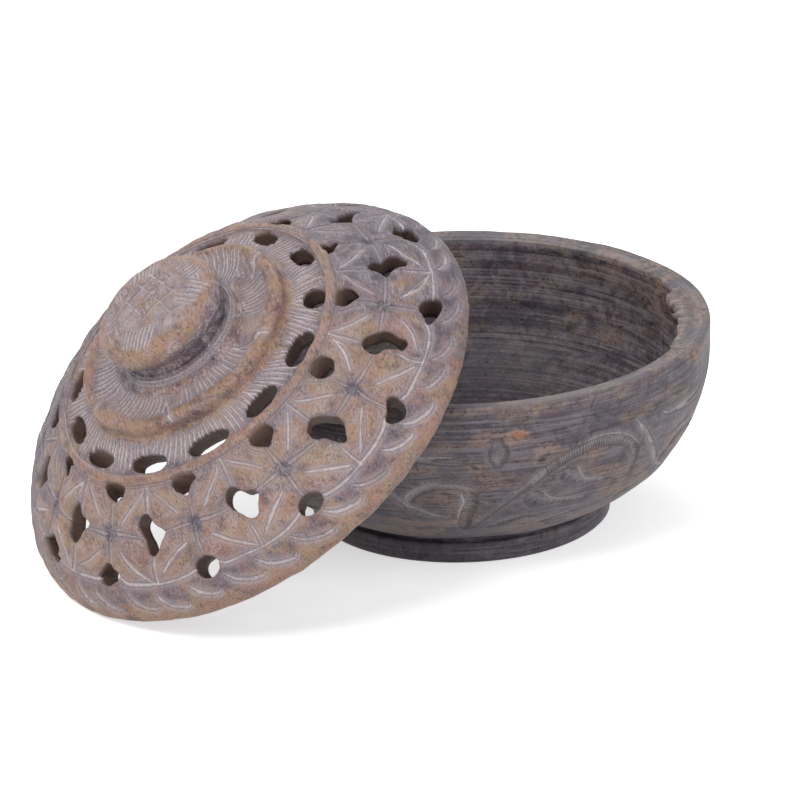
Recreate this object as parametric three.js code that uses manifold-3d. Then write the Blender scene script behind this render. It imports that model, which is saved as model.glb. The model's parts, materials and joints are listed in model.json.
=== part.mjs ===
// Carved soapstone incense bowl with a pierced lid. Millimetres, +Z up.
// The bowl stands on its foot at the origin. The lid is off: it leans on the bowl's rim
// with its lower edge on the table, at -X.
import * as THREE from 'three';
import { mergeVertices } from 'three/addons/utils/BufferGeometryUtils.js';
import Module from 'manifold-3d';

const wasm = await Module();
wasm.setup();

// Bowl sizes
const bowlRadius = 50.4;        // widest, just under the rim
const bowlHeight = 40.9;
const bowlWidestDrop = 5.1;     // from the rim down to the widest place
const rimEdge = 0.5;            // worn outer edge of the rim
const rimFaceWidth = 4.1;       // bevelled face between the outer and the inner edge
const rimFaceDrop = 0.7;        // the face leans inwards by this
const bowlFloor = 7;            // thickness of the stone under the hollow
const bowlFloorRadius = 20;     // flat middle of the hollow
const bowlFloorBlend = 16;      // from that flat out to where the hollow's wall bends up
const footRadius = 29.9;
const footHeight = 4.4;
const footEdge = 0.5;
const footGrooveDepth = 1;
const footGrooveWidth = 0.7;
// Shares of the belly's and the hollow's own reach and rise, which set how full they are
const bellyLowOut = 0.83;
const bellyLowUp = 0.195;
const bellyHighDown = 0.24;
const hollowWallUp = 0.33;

// Lid sizes, radii from its own axis and heights above its widest plane
const lidOverhang = 0.4;        // the lid is this much wider than the bowl, all round
const lipRound = 2.2;           // rounded lower edge
const lipDrop = 0.4;            // its centre lies this far below the widest plane
const seatWidth = 2.8;          // flat ring that sits on the bowl's rim
const hollowEdge = 0.6;
const fieldRise = 18.9;         // from the widest plane to the foot of the raised ring
const ringWidth = 1.9;
const ringRise = 0.75;
const bandWidth = 7.5;          // hatched band between the raised ring and the leaves
const bandRise = 2.2;
const leafWidth = 9.8;          // dished ring of leaves round the collar
const leafEdge = 2.3;           // height of the leaves' cut edge
const leafBorder = 2.2;
const leafBorderRise = 0.9;
const leafDish = 1.4;
const collarWidth = 2.1;
const collarRise = 1;
const neckRadius = 11;
const neckHeight = 4.2;
const knobOverhang = 2.5;
const knobSide = 4.2;
const knobEdge = 1.1;
const knobCrown = 1.4;
const ceilingWidth = 26;        // radius where the hollow's ceiling is level
const ceilingDrop = 3.6;        // from the foot of the raised ring down to that ceiling
const bossRadius = 6.5;         // thick middle under the knob
const bossDrop = 8;             // how far the boss hangs below the ceiling
const bossBlend = 9.5;          // from the boss out to where the ceiling levels off
const bossTuck = 3;
// Shares of each curve's own reach and rise, which set how full it is
const fieldHighOut = 0.66;
const fieldHighUp = 0.52;
const fieldLowUp = 0.17;
const hollowLowUp = 0.32;
const hollowHighOut = 0.45;
const crownFlat = 0.6;
const ringCrestIn = 0.2;
const ringCrestOut = 0.7;
const ringInnerRise = 0.7;
const ringOuterRise = 0.6;
const collarEdgeRise = 0.7;

// Piercings
const flowerCount = 12;
const innerHole = 5;
const innerHoleFromRing = 1.8;
const outerHole = 4.8;
const outerHoleFromRim = 9.4;
const sideHoleWidth = 5.4;
const sideHoleLength = 9.2;
const bandHoleCount = 13;       // cut by eye, so their number doesn't follow the flowers
const bandHoleLength = 8.6;
const bandHoleWidth = 4.1;
const bandHoleFromRing = 0.3;
const slotWaist = 0.12;         // side holes are drawn in by this share at the middle
const drillAbove = 2.3;         // a cutter starts this far above the surface
const drillThrough = 11;        // and reaches this far below it
const roundSides = 8;
const slotSides = 10;

// How the lid stands against the bowl
const rimOnBoss = 5;            // the rim meets the boss this far above the lid's axis
const tableGap = 0.1;
const leanGap = 0.4;

const turnSteps = 60;
const curveSteps = 5;
const weldDistance = 0.0001;
const soapstoneTan = 0x9c8377;
const soapstoneGrey = 0x6b605e;

const at = (x, y) => new THREE.Vector2(x, y);

// Adds the points of a curve to an outline, without its first point, which is there already.
function follow(outline, curve, steps = curveSteps) {
  outline.push(...curve.getPoints(steps).slice(1));
}

// Turns an outline of radius and height into a solid round Z.
function turned(outline) {
  const shape = new THREE.LatheGeometry(outline, turnSteps);
  shape.rotateX(Math.PI / 2);
  return shape;
}

function toSolid(geometry) {
  const bare = geometry.clone();
  bare.deleteAttribute('normal');
  bare.deleteAttribute('uv');
  const welded = mergeVertices(bare, weldDistance);
  const corners = welded.index.array;
  const faces = [];
  for (let i = 0; i < corners.length; i += 3) {
    const [a, b, c] = corners.slice(i, i + 3);
    if (a !== b && b !== c && c !== a) faces.push(a, b, c);
  }
  const mesh = new wasm.Mesh({
    numProp: 3,
    vertProperties: new Float32Array(welded.attributes.position.array),
    triVerts: new Uint32Array(faces),
  });
  return new wasm.Manifold(mesh);
}

function toGeometry(solid) {
  const mesh = solid.getMesh();
  const geometry = new THREE.BufferGeometry();
  geometry.setAttribute('position', new THREE.BufferAttribute(mesh.vertProperties, 3));
  geometry.setIndex(new THREE.BufferAttribute(mesh.triVerts, 1));
  return geometry;
}

// The bowl is turned from one block: foot, groove, belly, bevelled rim and hollow.
function makeBowl() {
  const grooveRadius = footRadius - footGrooveDepth;
  const bellyStart = footHeight + footGrooveWidth;
  const widest = bowlHeight - bowlWidestDrop;
  const rimOuter = bowlRadius - rimEdge;
  const rimInner = rimOuter - rimFaceWidth;
  const rimInnerHeight = bowlHeight - rimFaceDrop;
  const bellyRise = widest - bellyStart;
  const bellyReach = bowlRadius - grooveRadius;
  const hollowDepth = rimInnerHeight - bowlFloor;

  const outline = [
    at(0, 0),
    at(footRadius - footEdge, 0),
    at(footRadius, footEdge),
    at(footRadius, footHeight - footEdge / 2),
    at(grooveRadius, footHeight),
    at(grooveRadius, bellyStart),
  ];
  follow(outline, new THREE.CubicBezierCurve(
    at(grooveRadius, bellyStart),
    at(grooveRadius + bellyReach * bellyLowOut, bellyStart + bellyRise * bellyLowUp),
    at(bowlRadius, widest - bellyRise * bellyHighDown),
    at(bowlRadius, widest),
  ), 2 * curveSteps);
  outline.push(at(bowlRadius, bowlHeight - rimEdge), at(rimOuter, bowlHeight));
  outline.push(at(rimInner, rimInnerHeight));
  follow(outline, new THREE.CubicBezierCurve(
    at(rimInner, rimInnerHeight),
    at(rimInner, bowlFloor + hollowDepth * hollowWallUp),
    at(bowlFloorRadius + bowlFloorBlend, bowlFloor),
    at(bowlFloorRadius, bowlFloor),
  ), 2 * curveSteps);
  outline.push(at(0, bowlFloor));
  return turned(outline);
}

// Radii and heights that the lid's outline and its piercings share
const lidRadius = bowlRadius + lidOverhang;
const lipCentreRadius = lidRadius - lipRound;
const lipCentreHeight = -lipDrop;
const seatHeight = lipCentreHeight - lipRound;
const collarRadius = neckRadius + collarWidth;
const leafRadius = collarRadius + leafWidth;
const ringInner = leafRadius + bandWidth;
const ringOuter = ringInner + ringWidth;
const bandOuterHeight = fieldRise + ringRise / 4;
const leafFootHeight = bandOuterHeight + bandRise;
const leafTopHeight = leafFootHeight + leafEdge;
const collarHeight = leafTopHeight + leafBorderRise;
const knobFootHeight = collarHeight + collarRise + neckHeight;
const knobTopHeight = knobFootHeight + knobSide;
const knobRadius = neckRadius + knobOverhang;
const ceilingHeight = fieldRise - ceilingDrop;
const bossHeight = ceilingHeight - bossDrop;

// The carved field runs from the raised ring down to the widest place.
const field = new THREE.CubicBezierCurve(
  at(ringOuter, fieldRise - ringRise / 2),
  at(ringOuter + (lidRadius - ringOuter) * fieldHighOut, fieldRise * fieldHighUp),
  at(lidRadius, fieldRise * fieldLowUp),
  at(lidRadius, lipCentreHeight),
);

function lidOutline() {
  const seatOuter = lipCentreRadius;
  const seatInner = seatOuter - seatWidth;
  const hollowRadius = seatInner - hollowEdge;
  const hollowStart = seatHeight + hollowEdge;
  const hollowRise = ceilingHeight - hollowStart;
  const leafInner = leafRadius - leafBorder;

  const outline = [at(0, knobTopHeight + knobEdge + knobCrown)];
  follow(outline, new THREE.QuadraticBezierCurve(
    outline[0],
    at(knobRadius * crownFlat, knobTopHeight + knobEdge + knobCrown),
    at(knobRadius - knobEdge, knobTopHeight + knobEdge),
  ), 3);
  follow(outline, new THREE.CubicBezierCurve(
    at(knobRadius - knobEdge, knobTopHeight + knobEdge),
    at(knobRadius + knobEdge / 2, knobTopHeight),
    at(knobRadius + knobEdge / 2, knobTopHeight - knobSide / 2),
    at(knobRadius - knobEdge, knobFootHeight),
  ));
  follow(outline, new THREE.QuadraticBezierCurve(
    at(knobRadius - knobEdge, knobFootHeight),
    at(neckRadius, knobFootHeight - neckHeight / 4),
    at(neckRadius, knobFootHeight - neckHeight / 2),
  ), 2);
  outline.push(at(neckRadius + collarWidth / 2, collarHeight + collarRise));
  outline.push(at(collarRadius, collarHeight + collarRise * collarEdgeRise));
  outline.push(at(collarRadius, collarHeight));
  follow(outline, new THREE.QuadraticBezierCurve(
    at(collarRadius, collarHeight),
    at((collarRadius + leafInner) / 2, collarHeight - leafDish),
    at(leafInner, collarHeight),
  ), 4);
  follow(outline, new THREE.QuadraticBezierCurve(
    at(leafInner, collarHeight),
    at(leafRadius, collarHeight + leafBorderRise / 4),
    at(leafRadius, leafTopHeight),
  ), 3);
  outline.push(at(leafRadius, leafFootHeight));
  outline.push(at(ringInner, bandOuterHeight));
  outline.push(at(ringInner + ringWidth * ringCrestIn, bandOuterHeight + ringRise * ringInnerRise));
  outline.push(at(ringInner + ringWidth * ringCrestOut, bandOuterHeight + ringRise * ringOuterRise));
  outline.push(field.getPoint(0));
  follow(outline, field, 2 * curveSteps - 1);
  follow(outline, new THREE.EllipseCurve(
    lipCentreRadius, lipCentreHeight, lipRound, lipRound, 0, -Math.PI / 2, true,
  ));
  outline.push(at(seatInner, seatHeight));
  outline.push(at(hollowRadius, hollowStart));
  follow(outline, new THREE.CubicBezierCurve(
    at(hollowRadius, hollowStart),
    at(hollowRadius - hollowEdge, hollowStart + hollowRise * hollowLowUp),
    at(ceilingWidth + (hollowRadius - ceilingWidth) * hollowHighOut, ceilingHeight),
    at(ceilingWidth, ceilingHeight),
  ), curveSteps + 1);
  follow(outline, new THREE.CubicBezierCurve(
    at(ceilingWidth, ceilingHeight),
    at(bossRadius + bossBlend, ceilingHeight),
    at(bossRadius + bossBlend - bossTuck, bossHeight),
    at(bossRadius, bossHeight),
  ));
  outline.push(at(0, bossHeight));
  return outline.reverse();
}

// A closed ring of points: an oval, drawn in by a waist where it has one.
function oval(length, width, sides, waist = 0) {
  const points = [];
  for (let i = 0; i < sides; i += 1) {
    const turn = (2 * Math.PI * i) / sides;
    const pinch = 1 - waist * Math.sin(turn) ** 4;
    points.push(at(Math.cos(turn) * length / 2, Math.sin(turn) * pinch * width / 2));
  }
  return new THREE.Shape(points);
}

// A cutter drilled square to the surface at a place on the lid's outline. The shape's X runs
// up the slope and its Y runs round the lid.
function drill(shape, place, slope, around) {
  const depth = drillAbove + drillThrough;
  const cutter = new THREE.ExtrudeGeometry(shape, { depth, bevelEnabled: false, steps: 1 });
  cutter.translate(0, 0, -drillThrough);
  cutter.rotateY(slope);
  cutter.translate(place.x, 0, place.y);
  cutter.rotateZ(around);
  return toSolid(cutter);
}

// Where a row of holes sits on the field, and how far the field leans there
function fieldRow(fromRing) {
  const u = fromRing / field.getLength();
  const tangent = field.getTangentAt(u);
  return { place: field.getPointAt(u), slope: Math.atan2(-tangent.y, tangent.x) };
}

function makeLid() {
  const body = toSolid(turned(lidOutline()));
  const outerFromRing = field.getLength() - outerHoleFromRim;
  const inner = fieldRow(innerHoleFromRing);
  const outer = fieldRow(outerFromRing);
  const side = fieldRow((innerHoleFromRing + outerFromRing) / 2);
  const bandSlope = Math.atan2(bandRise, bandWidth);
  const bandHoleRadius = ringInner - bandHoleFromRing - bandHoleWidth / 2;
  const bandPlace = at(bandHoleRadius, bandOuterHeight + bandRise / 4);
  const step = (2 * Math.PI) / flowerCount;

  const cutters = [];
  for (let k = 0; k < flowerCount; k += 1) {
    const flower = (k + 0.5) * step;
    const between = k * step;
    cutters.push(drill(oval(innerHole, innerHole, roundSides), inner.place, inner.slope, flower));
    cutters.push(drill(oval(outerHole, outerHole, roundSides), outer.place, outer.slope, flower));
    cutters.push(drill(
      oval(sideHoleLength, sideHoleWidth, slotSides, slotWaist), side.place, side.slope, between,
    ));
  }
  for (let k = 0; k < bandHoleCount; k += 1) {
    const around = ((k + 0.5) * 2 * Math.PI) / bandHoleCount;
    cutters.push(drill(
      oval(bandHoleWidth, bandHoleLength, slotSides), bandPlace, bandSlope, around,
    ));
  }
  return toGeometry(cutters.reduce((lid, cutter) => lid.subtract(cutter), body));
}

// The lid's lowest place touches the table, and the boss in its hollow lies on the bowl's rim.
const bossClear = bossHeight - leanGap;
const lipToRim = Math.hypot(bossClear - lipCentreHeight, lipCentreRadius + rimOnBoss);
const leanAngle = Math.atan2(lipCentreRadius + rimOnBoss, bossClear - lipCentreHeight)
  - Math.acos((bowlHeight - tableGap - lipRound) / lipToRim);

function leanPlace() {
  const sine = Math.sin(leanAngle);
  const cosine = Math.cos(leanAngle);
  const height = tableGap + lipRound - lipCentreHeight * cosine + lipCentreRadius * sine;
  const reach = rimEdge - bowlRadius - rimOnBoss * cosine + bossClear * sine;
  return new THREE.Vector3(reach, 0, height);
}

const incenseBowl = new THREE.Group();

const bowl = new THREE.Mesh(
  makeBowl(),
  new THREE.MeshStandardMaterial({ color: soapstoneGrey, roughness: 0.72, metalness: 0 }),
);
bowl.name = 'bowl';
incenseBowl.add(bowl);

const lid = new THREE.Mesh(
  makeLid(),
  new THREE.MeshStandardMaterial({ color: soapstoneTan, roughness: 0.78, metalness: 0 }),
);
lid.name = 'lid';
lid.position.copy(leanPlace());
lid.rotation.y = -leanAngle;
incenseBowl.add(lid);

export default incenseBowl;
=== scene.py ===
# Carved soapstone incense bowl, with its pierced lid leaning on the rim.
# Each stone is one closed skin: a turned outline, carved by strokes laid out in its own surface.
import json
import math
import random
from itertools import product

import bmesh
import bpy
import numpy as np
from mathutils import Matrix, Vector, noise
from mathutils.geometry import delaunay_2d_cdt


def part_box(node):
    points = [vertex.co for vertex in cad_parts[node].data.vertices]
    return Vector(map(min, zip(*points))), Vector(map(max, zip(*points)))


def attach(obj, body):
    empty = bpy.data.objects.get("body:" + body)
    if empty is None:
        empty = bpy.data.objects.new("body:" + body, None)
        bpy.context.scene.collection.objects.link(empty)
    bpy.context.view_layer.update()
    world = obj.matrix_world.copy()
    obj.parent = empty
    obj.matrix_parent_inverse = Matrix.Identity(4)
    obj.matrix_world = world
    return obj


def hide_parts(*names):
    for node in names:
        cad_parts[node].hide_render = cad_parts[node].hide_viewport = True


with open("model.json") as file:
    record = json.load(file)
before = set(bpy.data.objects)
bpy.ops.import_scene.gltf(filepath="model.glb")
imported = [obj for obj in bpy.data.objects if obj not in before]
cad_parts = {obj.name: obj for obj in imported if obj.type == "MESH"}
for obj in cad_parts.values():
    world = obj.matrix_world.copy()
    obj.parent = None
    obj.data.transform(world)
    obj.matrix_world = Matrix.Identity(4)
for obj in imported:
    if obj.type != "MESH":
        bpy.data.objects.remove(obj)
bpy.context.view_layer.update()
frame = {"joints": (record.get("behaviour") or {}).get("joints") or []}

mm = 0.001


def turn(degrees):
    return math.radians(degrees)


def circleDistance(azimuth, centre):
    # the short way round from centre, in radians
    return (azimuth - centre + math.pi) % (2 * math.pi) - math.pi


# View, floor and light

viewSettings = {
    "eye": (-806.0, -1258.0, 608.0),      # millimetres from the bowl's foot
    "heading": -32.19,                    # degrees round Z, 0 looks along +Y
    "pitch": 21.37,                       # degrees down
    "roll": 1.36,
    "lens": 360.0,
    "floor": "#f4f3f2",
    "world": "#f3f4f7",
    "worldStrength": 0.62,
    "glow": 0.55,                         # of the floor, where it is looked at directly
    # lamps: place and size in metres, watts, colour
    "lamps": {"key": ((-0.75, -0.35, 0.95), 0.5, 7.0, "#fffdf9"),
              "fill": ((0.55, -0.95, 0.55), 0.7, 3.2, "#f7f9ff"),
              "back": ((0.25, 0.9, 0.75), 0.6, 3.5, "#ffffff")},
}


def toLinear(colour):
    # sRGB hex to the linear values that the nodes work in
    parts = [int(colour[i:i + 2], 16) / 255 for i in (1, 3, 5)]
    return [c / 12.92 if c <= 0.04045 else ((c + 0.055) / 1.055) ** 2.4 for c in parts] + [1.0]


def addNode(tree, kind, settings=None, links=None, values=None):
    # one node: its settings, the values of its sockets and what feeds them
    node = tree.nodes.new(kind)
    for key, value in (settings or {}).items():
        setattr(node, key, value)
    for key, value in (values or {}).items():
        node.inputs[key].default_value = value
    for key, source in (links or {}).items():
        tree.links.new(source, node.inputs[key])
    return node


def mixColour(tree, share, first, second):
    # colours are hex, or the output of another node
    node = addNode(tree, "ShaderNodeMix", {"data_type": "RGBA", "clamp_factor": True}, {0: share})
    for slot, colour in ((6, first), (7, second)):
        if isinstance(colour, str):
            node.inputs[slot].default_value = toLinear(colour)
        else:
            tree.links.new(colour, node.inputs[slot])
    return node.outputs[2]


def span(tree, value, low, high, start=0.0, end=1.0):
    return addNode(tree, "ShaderNodeMapRange", {"interpolation_type": "SMOOTHSTEP"}, {0: value},
                   {1: low, 2: high, 3: start, 4: end}).outputs[0]


def combine(tree, kind, a, b):
    # a sum or product of two values, each a number or an output
    node = addNode(tree, "ShaderNodeMath", {"operation": kind})
    for slot, value in ((0, a), (1, b)):
        if isinstance(value, (int, float)):
            node.inputs[slot].default_value = value
        else:
            tree.links.new(value, node.inputs[slot])
    return node.outputs[0]


def setUpView(s):
    scene = bpy.context.scene
    cameraData = bpy.data.cameras.new("camera")
    camera = bpy.data.objects.new("camera", cameraData)
    scene.collection.objects.link(camera)
    cameraData.lens = s["lens"]
    cameraData.sensor_width = 36.0
    cameraData.clip_end = 20.0
    heading, pitch, roll = turn(s["heading"]), turn(s["pitch"]), turn(s["roll"])
    forward = Vector((-math.sin(heading) * math.cos(pitch), math.cos(heading) * math.cos(pitch),
                      -math.sin(pitch)))
    level = Vector((math.cos(heading), math.sin(heading), 0))
    upright = level.cross(forward)
    right = math.cos(roll) * level - math.sin(roll) * upright
    up = math.sin(roll) * level + math.cos(roll) * upright
    axes = Matrix((right, up, -forward)).transposed().to_4x4()
    camera.matrix_world = Matrix.Translation(Vector(s["eye"]) * mm) @ axes
    scene.camera = camera
    scene.view_settings.view_transform = "Standard"


def addLamp(name, place, target, size, watts, colour):
    data = bpy.data.lights.new(name, "AREA")
    data.shape = "DISK"
    data.size = size
    data.energy = watts
    data.color = toLinear(colour)[:3]
    lamp = bpy.data.objects.new(name, data)
    bpy.context.scene.collection.objects.link(lamp)
    lamp.location = place
    lamp.rotation_euler = (Vector(target) - Vector(place)).to_track_quat("-Z", "Y").to_euler()


def seenDirectly(tree):
    # 1 where the eye, a reflection or clear glass looks straight at it
    path = addNode(tree, "ShaderNodeLightPath")
    first = combine(tree, "MAXIMUM", path.outputs["Is Camera Ray"], path.outputs["Is Glossy Ray"])
    return combine(tree, "MAXIMUM", first, path.outputs["Is Transmission Ray"])


def setUpStage(s):
    world = bpy.data.worlds.new("studio")
    bpy.context.scene.world = world
    world.use_nodes = True
    tree = world.node_tree
    tree.nodes.clear()
    soft = addNode(tree, "ShaderNodeBackground",
                   values={"Color": toLinear(s["world"]), "Strength": s["worldStrength"]})
    white = addNode(tree, "ShaderNodeBackground", values={"Color": (1, 1, 1, 1), "Strength": 1.0})
    mix = addNode(tree, "ShaderNodeMixShader",
                  links={0: seenDirectly(tree), 1: soft.outputs[0], 2: white.outputs[0]})
    addNode(tree, "ShaderNodeOutputWorld", links={"Surface": mix.outputs[0]})

    floorMesh = bpy.data.meshes.new("floor")
    side = 1.2
    floorMesh.from_pydata([(-side, -side, 0), (side, -side, 0), (side, side, 0), (-side, side, 0)],
                          [], [(0, 1, 2, 3)])
    floor = bpy.data.objects.new("floor", floorMesh)
    bpy.context.scene.collection.objects.link(floor)
    card = bpy.data.materials.new("white studio card")
    card.use_nodes = True
    tree = card.node_tree
    tree.nodes.clear()
    paper = addNode(tree, "ShaderNodeBsdfDiffuse", values={"Color": toLinear(s["floor"])})
    glow = addNode(tree, "ShaderNodeEmission", values={"Color": (1, 1, 1, 1), "Strength": s["glow"]})
    both = addNode(tree, "ShaderNodeAddShader", links={0: paper.outputs[0], 1: glow.outputs[0]})
    mix = addNode(tree, "ShaderNodeMixShader",
                  links={0: seenDirectly(tree), 1: paper.outputs[0], 2: both.outputs[0]})
    addNode(tree, "ShaderNodeOutputMaterial", links={"Surface": mix.outputs[0]})
    floorMesh.materials.append(card)

    for name, (place, size, watts, colour) in s["lamps"].items():
        addLamp(name, place, (0, 0, 0.03), size, watts, colour)


# Turned outlines

def bezier(a, b, c, d, steps):
    out = []
    for i in range(1, steps + 1):
        t = i / steps
        u = 1 - t
        out.append(tuple(u ** 3 * a[n] + 3 * u * u * t * b[n] + 3 * u * t * t * c[n] + t ** 3 * d[n]
                         for n in (0, 1)))
    return out


class Outline:
    # A turned outline from the axis outwards. Its length gives every place on the skin, and
    # its plan radius makes a flat disc in which small shapes keep their form.
    def __init__(self, points, step=0.25):
        self.corners = []
        fine = [points[0]]
        travelled = 0.0
        for a, b in zip(points[:-1], points[1:]):
            length = math.hypot(b[0] - a[0], b[1] - a[1])
            count = max(1, math.ceil(length / step))
            fine += [(a[0] + (b[0] - a[0]) * i / count, a[1] + (b[1] - a[1]) * i / count)
                     for i in range(1, count + 1)]
            travelled += length
            self.corners.append(travelled)
        fine = np.array(fine)
        pace = np.hypot(*np.diff(fine, axis=0).T)
        self.s = np.concatenate([[0], np.cumsum(pace)])
        self.r = fine[:, 0]
        self.z = fine[:, 1]
        self.length = self.s[-1]
        middle = np.maximum((self.r[1:] + self.r[:-1]) / 2, 0.2)
        grow = np.concatenate([[0], np.cumsum(pace / middle)])
        inner = np.searchsorted(self.s, 1.0)
        plan = np.exp(grow - grow[inner])
        plan[:inner] = self.s[:inner] / self.s[inner]
        self.plan = plan
        slopeR = np.gradient(self.r, self.s)
        slopeZ = np.gradient(self.z, self.s)
        size = np.hypot(slopeR, slopeZ)
        self.normalR = -slopeZ / size
        self.normalZ = slopeR / size

    def radius(self, s):
        return np.interp(s, self.s, self.r)

    def at(self, radius, after=0.0):
        # how far along the outline it first reaches a radius, past a given place
        k = np.searchsorted(self.s, after)
        reach = np.maximum.accumulate(self.r[k:])
        return float(np.interp(radius, reach, self.s[k:]))

    def down(self, height):
        # how far along the outline it first comes down to a height
        return float(self.s[np.argmax(self.z < height)])

    def toPlan(self, azimuth, s):
        q = np.interp(s, self.s, self.plan)
        return q * np.cos(azimuth), q * np.sin(azimuth)

    def fromPlan(self, x, y):
        return np.arctan2(y, x), np.interp(np.hypot(x, y), self.plan, self.s)

    def place(self, azimuth, s, lift=0.0, push=0.0):
        # lift runs along the surface's normal and push straight out from the axis
        r = np.interp(s, self.s, self.r) + lift * np.interp(s, self.s, self.normalR) + push
        z = np.interp(s, self.s, self.z) + lift * np.interp(s, self.s, self.normalZ)
        return np.stack([r * np.cos(azimuth), r * np.sin(azimuth), z], -1)


# Strokes: a cut of the chisel, kept as points round its own middle on the skin

def makeStroke(outline, azimuth, s, path, width, depth, dust=1.0, blunt=0.0, **more):
    path = np.array(path, float)
    middle = path.mean(0)
    return {"azimuth": azimuth + middle[0] / float(outline.radius(s)), "s": s + middle[1],
            "path": path - middle, "width": width, "depth": depth, "dust": dust, "blunt": blunt,
            "radius": float(outline.radius(s)), **more}


def strokeWidths(stroke):
    # half the width along the cut, drawn to a point at its ends unless they are blunt
    count = len(stroke["path"])
    t = np.linspace(0, 1, count)
    if "shape" in stroke:
        return stroke["width"] / 2 * np.interp(t, *np.array(stroke["shape"]).T)
    edge = np.clip(np.minimum(t, 1 - t) / 0.3, 0, 1)
    share = stroke["blunt"] + (1 - stroke["blunt"]) * np.sin(edge * math.pi / 2)
    return stroke["width"] / 2 * np.maximum(share, 0.02)


def strokeSides(stroke):
    path = stroke["path"]
    along = np.gradient(path, axis=0)
    along /= np.maximum(np.hypot(along[:, 0], along[:, 1]), 1e-9)[:, None]
    side = np.stack([-along[:, 1], along[:, 0]], -1) * strokeWidths(stroke)[:, None]
    return path + side, path - side


def bend(a, b, c, d, u):
    # between b and c, with a before them and d after, Catmull-Rom style
    return 0.5 * (2 * b + (c - a) * u + (2 * a - 5 * b + 4 * c - d) * u * u
                  + (3 * b - 3 * c + d - a) * u ** 3)


def smooth(points, count):
    # a soft line through given points
    p = np.array([points[0]] + list(points) + [points[-1]], float)
    out = []
    spans = len(points) - 1
    for i in range(count):
        t = i / (count - 1) * spans
        k = min(int(t), spans - 1)
        out.append(bend(p[k], p[k + 1], p[k + 2], p[k + 3], t - k))
    return np.array(out)


# Geometry Nodes lay out the strokes that repeat round a stone

def makeStrokeTree():
    tree = bpy.data.node_groups.new("stroke ring", "GeometryNodeTree")
    ask = {}
    for name, kind, value in (
        ("Count", "NodeSocketInt", 12), ("First Angle", "NodeSocketFloat", 0.0),
        ("Angle Step", "NodeSocketFloat", 0.5), ("Radius", "NodeSocketFloat", 10.0),
        ("Start", "NodeSocketVector", (0, 0, 0)), ("Middle", "NodeSocketVector", (1, 0, 0)),
        ("End", "NodeSocketVector", (2, 0, 0)), ("Tilt", "NodeSocketFloat", 0.0),
        ("Follow", "NodeSocketFloat", 1.0), ("Points", "NodeSocketInt", 6),
        ("Tilt Jitter", "NodeSocketFloat", 0.0), ("Length Jitter", "NodeSocketFloat", 0.0),
        ("Place Jitter", "NodeSocketFloat", 0.0), ("Seed", "NodeSocketInt", 1),
    ):
        socket = tree.interface.new_socket(name, in_out="INPUT", socket_type=kind)
        socket.default_value = value
        ask[name] = socket.identifier
    tree.interface.new_socket("Geometry", in_out="OUTPUT", socket_type="NodeSocketGeometry")
    given = addNode(tree, "NodeGroupInput").outputs
    index = addNode(tree, "GeometryNodeInputIndex").outputs[0]

    def scatter(spread, offset):
        return addNode(tree, "FunctionNodeRandomValue", {"data_type": "FLOAT"},
                       {2: times(spread, -1.0), 3: spread, "Seed": plus(given["Seed"], offset)}).outputs[1]

    def plus(a, b):
        return combine(tree, "ADD", a, b)

    def times(a, b):
        return combine(tree, "MULTIPLY", a, b)

    run = times(index, given["Angle Step"])
    angle = plus(plus(given["First Angle"], run), scatter(given["Place Jitter"], 11))
    cosine = addNode(tree, "ShaderNodeMath", {"operation": "COSINE"}, {0: angle}).outputs[0]
    sine = addNode(tree, "ShaderNodeMath", {"operation": "SINE"}, {0: angle}).outputs[0]
    spot = addNode(tree, "ShaderNodeCombineXYZ",
                   links={0: times(cosine, given["Radius"]), 1: times(sine, given["Radius"])})
    points = addNode(tree, "GeometryNodePoints", links={0: given["Count"], 1: spot.outputs[0]})
    line = addNode(tree, "GeometryNodeCurveQuadraticBezier",
                   links={"Start": given["Start"], "Middle": given["Middle"], "End": given["End"]})
    even = addNode(tree, "GeometryNodeResampleCurve",
                   links={"Curve": line.outputs[0], "Count": given["Points"]})
    edges = addNode(tree, "GeometryNodeCurveToMesh", links={"Curve": even.outputs[0]})
    heading = plus(plus(given["First Angle"], times(run, given["Follow"])), given["Tilt"])
    heading = plus(heading, scatter(given["Tilt Jitter"], 23))
    rotation = addNode(tree, "ShaderNodeCombineXYZ", links={2: heading})
    growth = plus(scatter(given["Length Jitter"], 37), 1.0)
    scale = addNode(tree, "ShaderNodeCombineXYZ", links={0: growth, 1: growth}, values={2: 1.0})
    cuts = addNode(tree, "GeometryNodeInstanceOnPoints",
                   links={"Points": points.outputs[0], "Instance": edges.outputs[0],
                          "Rotation": rotation.outputs[0], "Scale": scale.outputs[0]})
    real = addNode(tree, "GeometryNodeRealizeInstances", links={0: cuts.outputs[0]})
    addNode(tree, "NodeGroupOutput", links={0: real.outputs[0]})
    return tree, ask


strokeTree, strokeSocket = makeStrokeTree()


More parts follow.
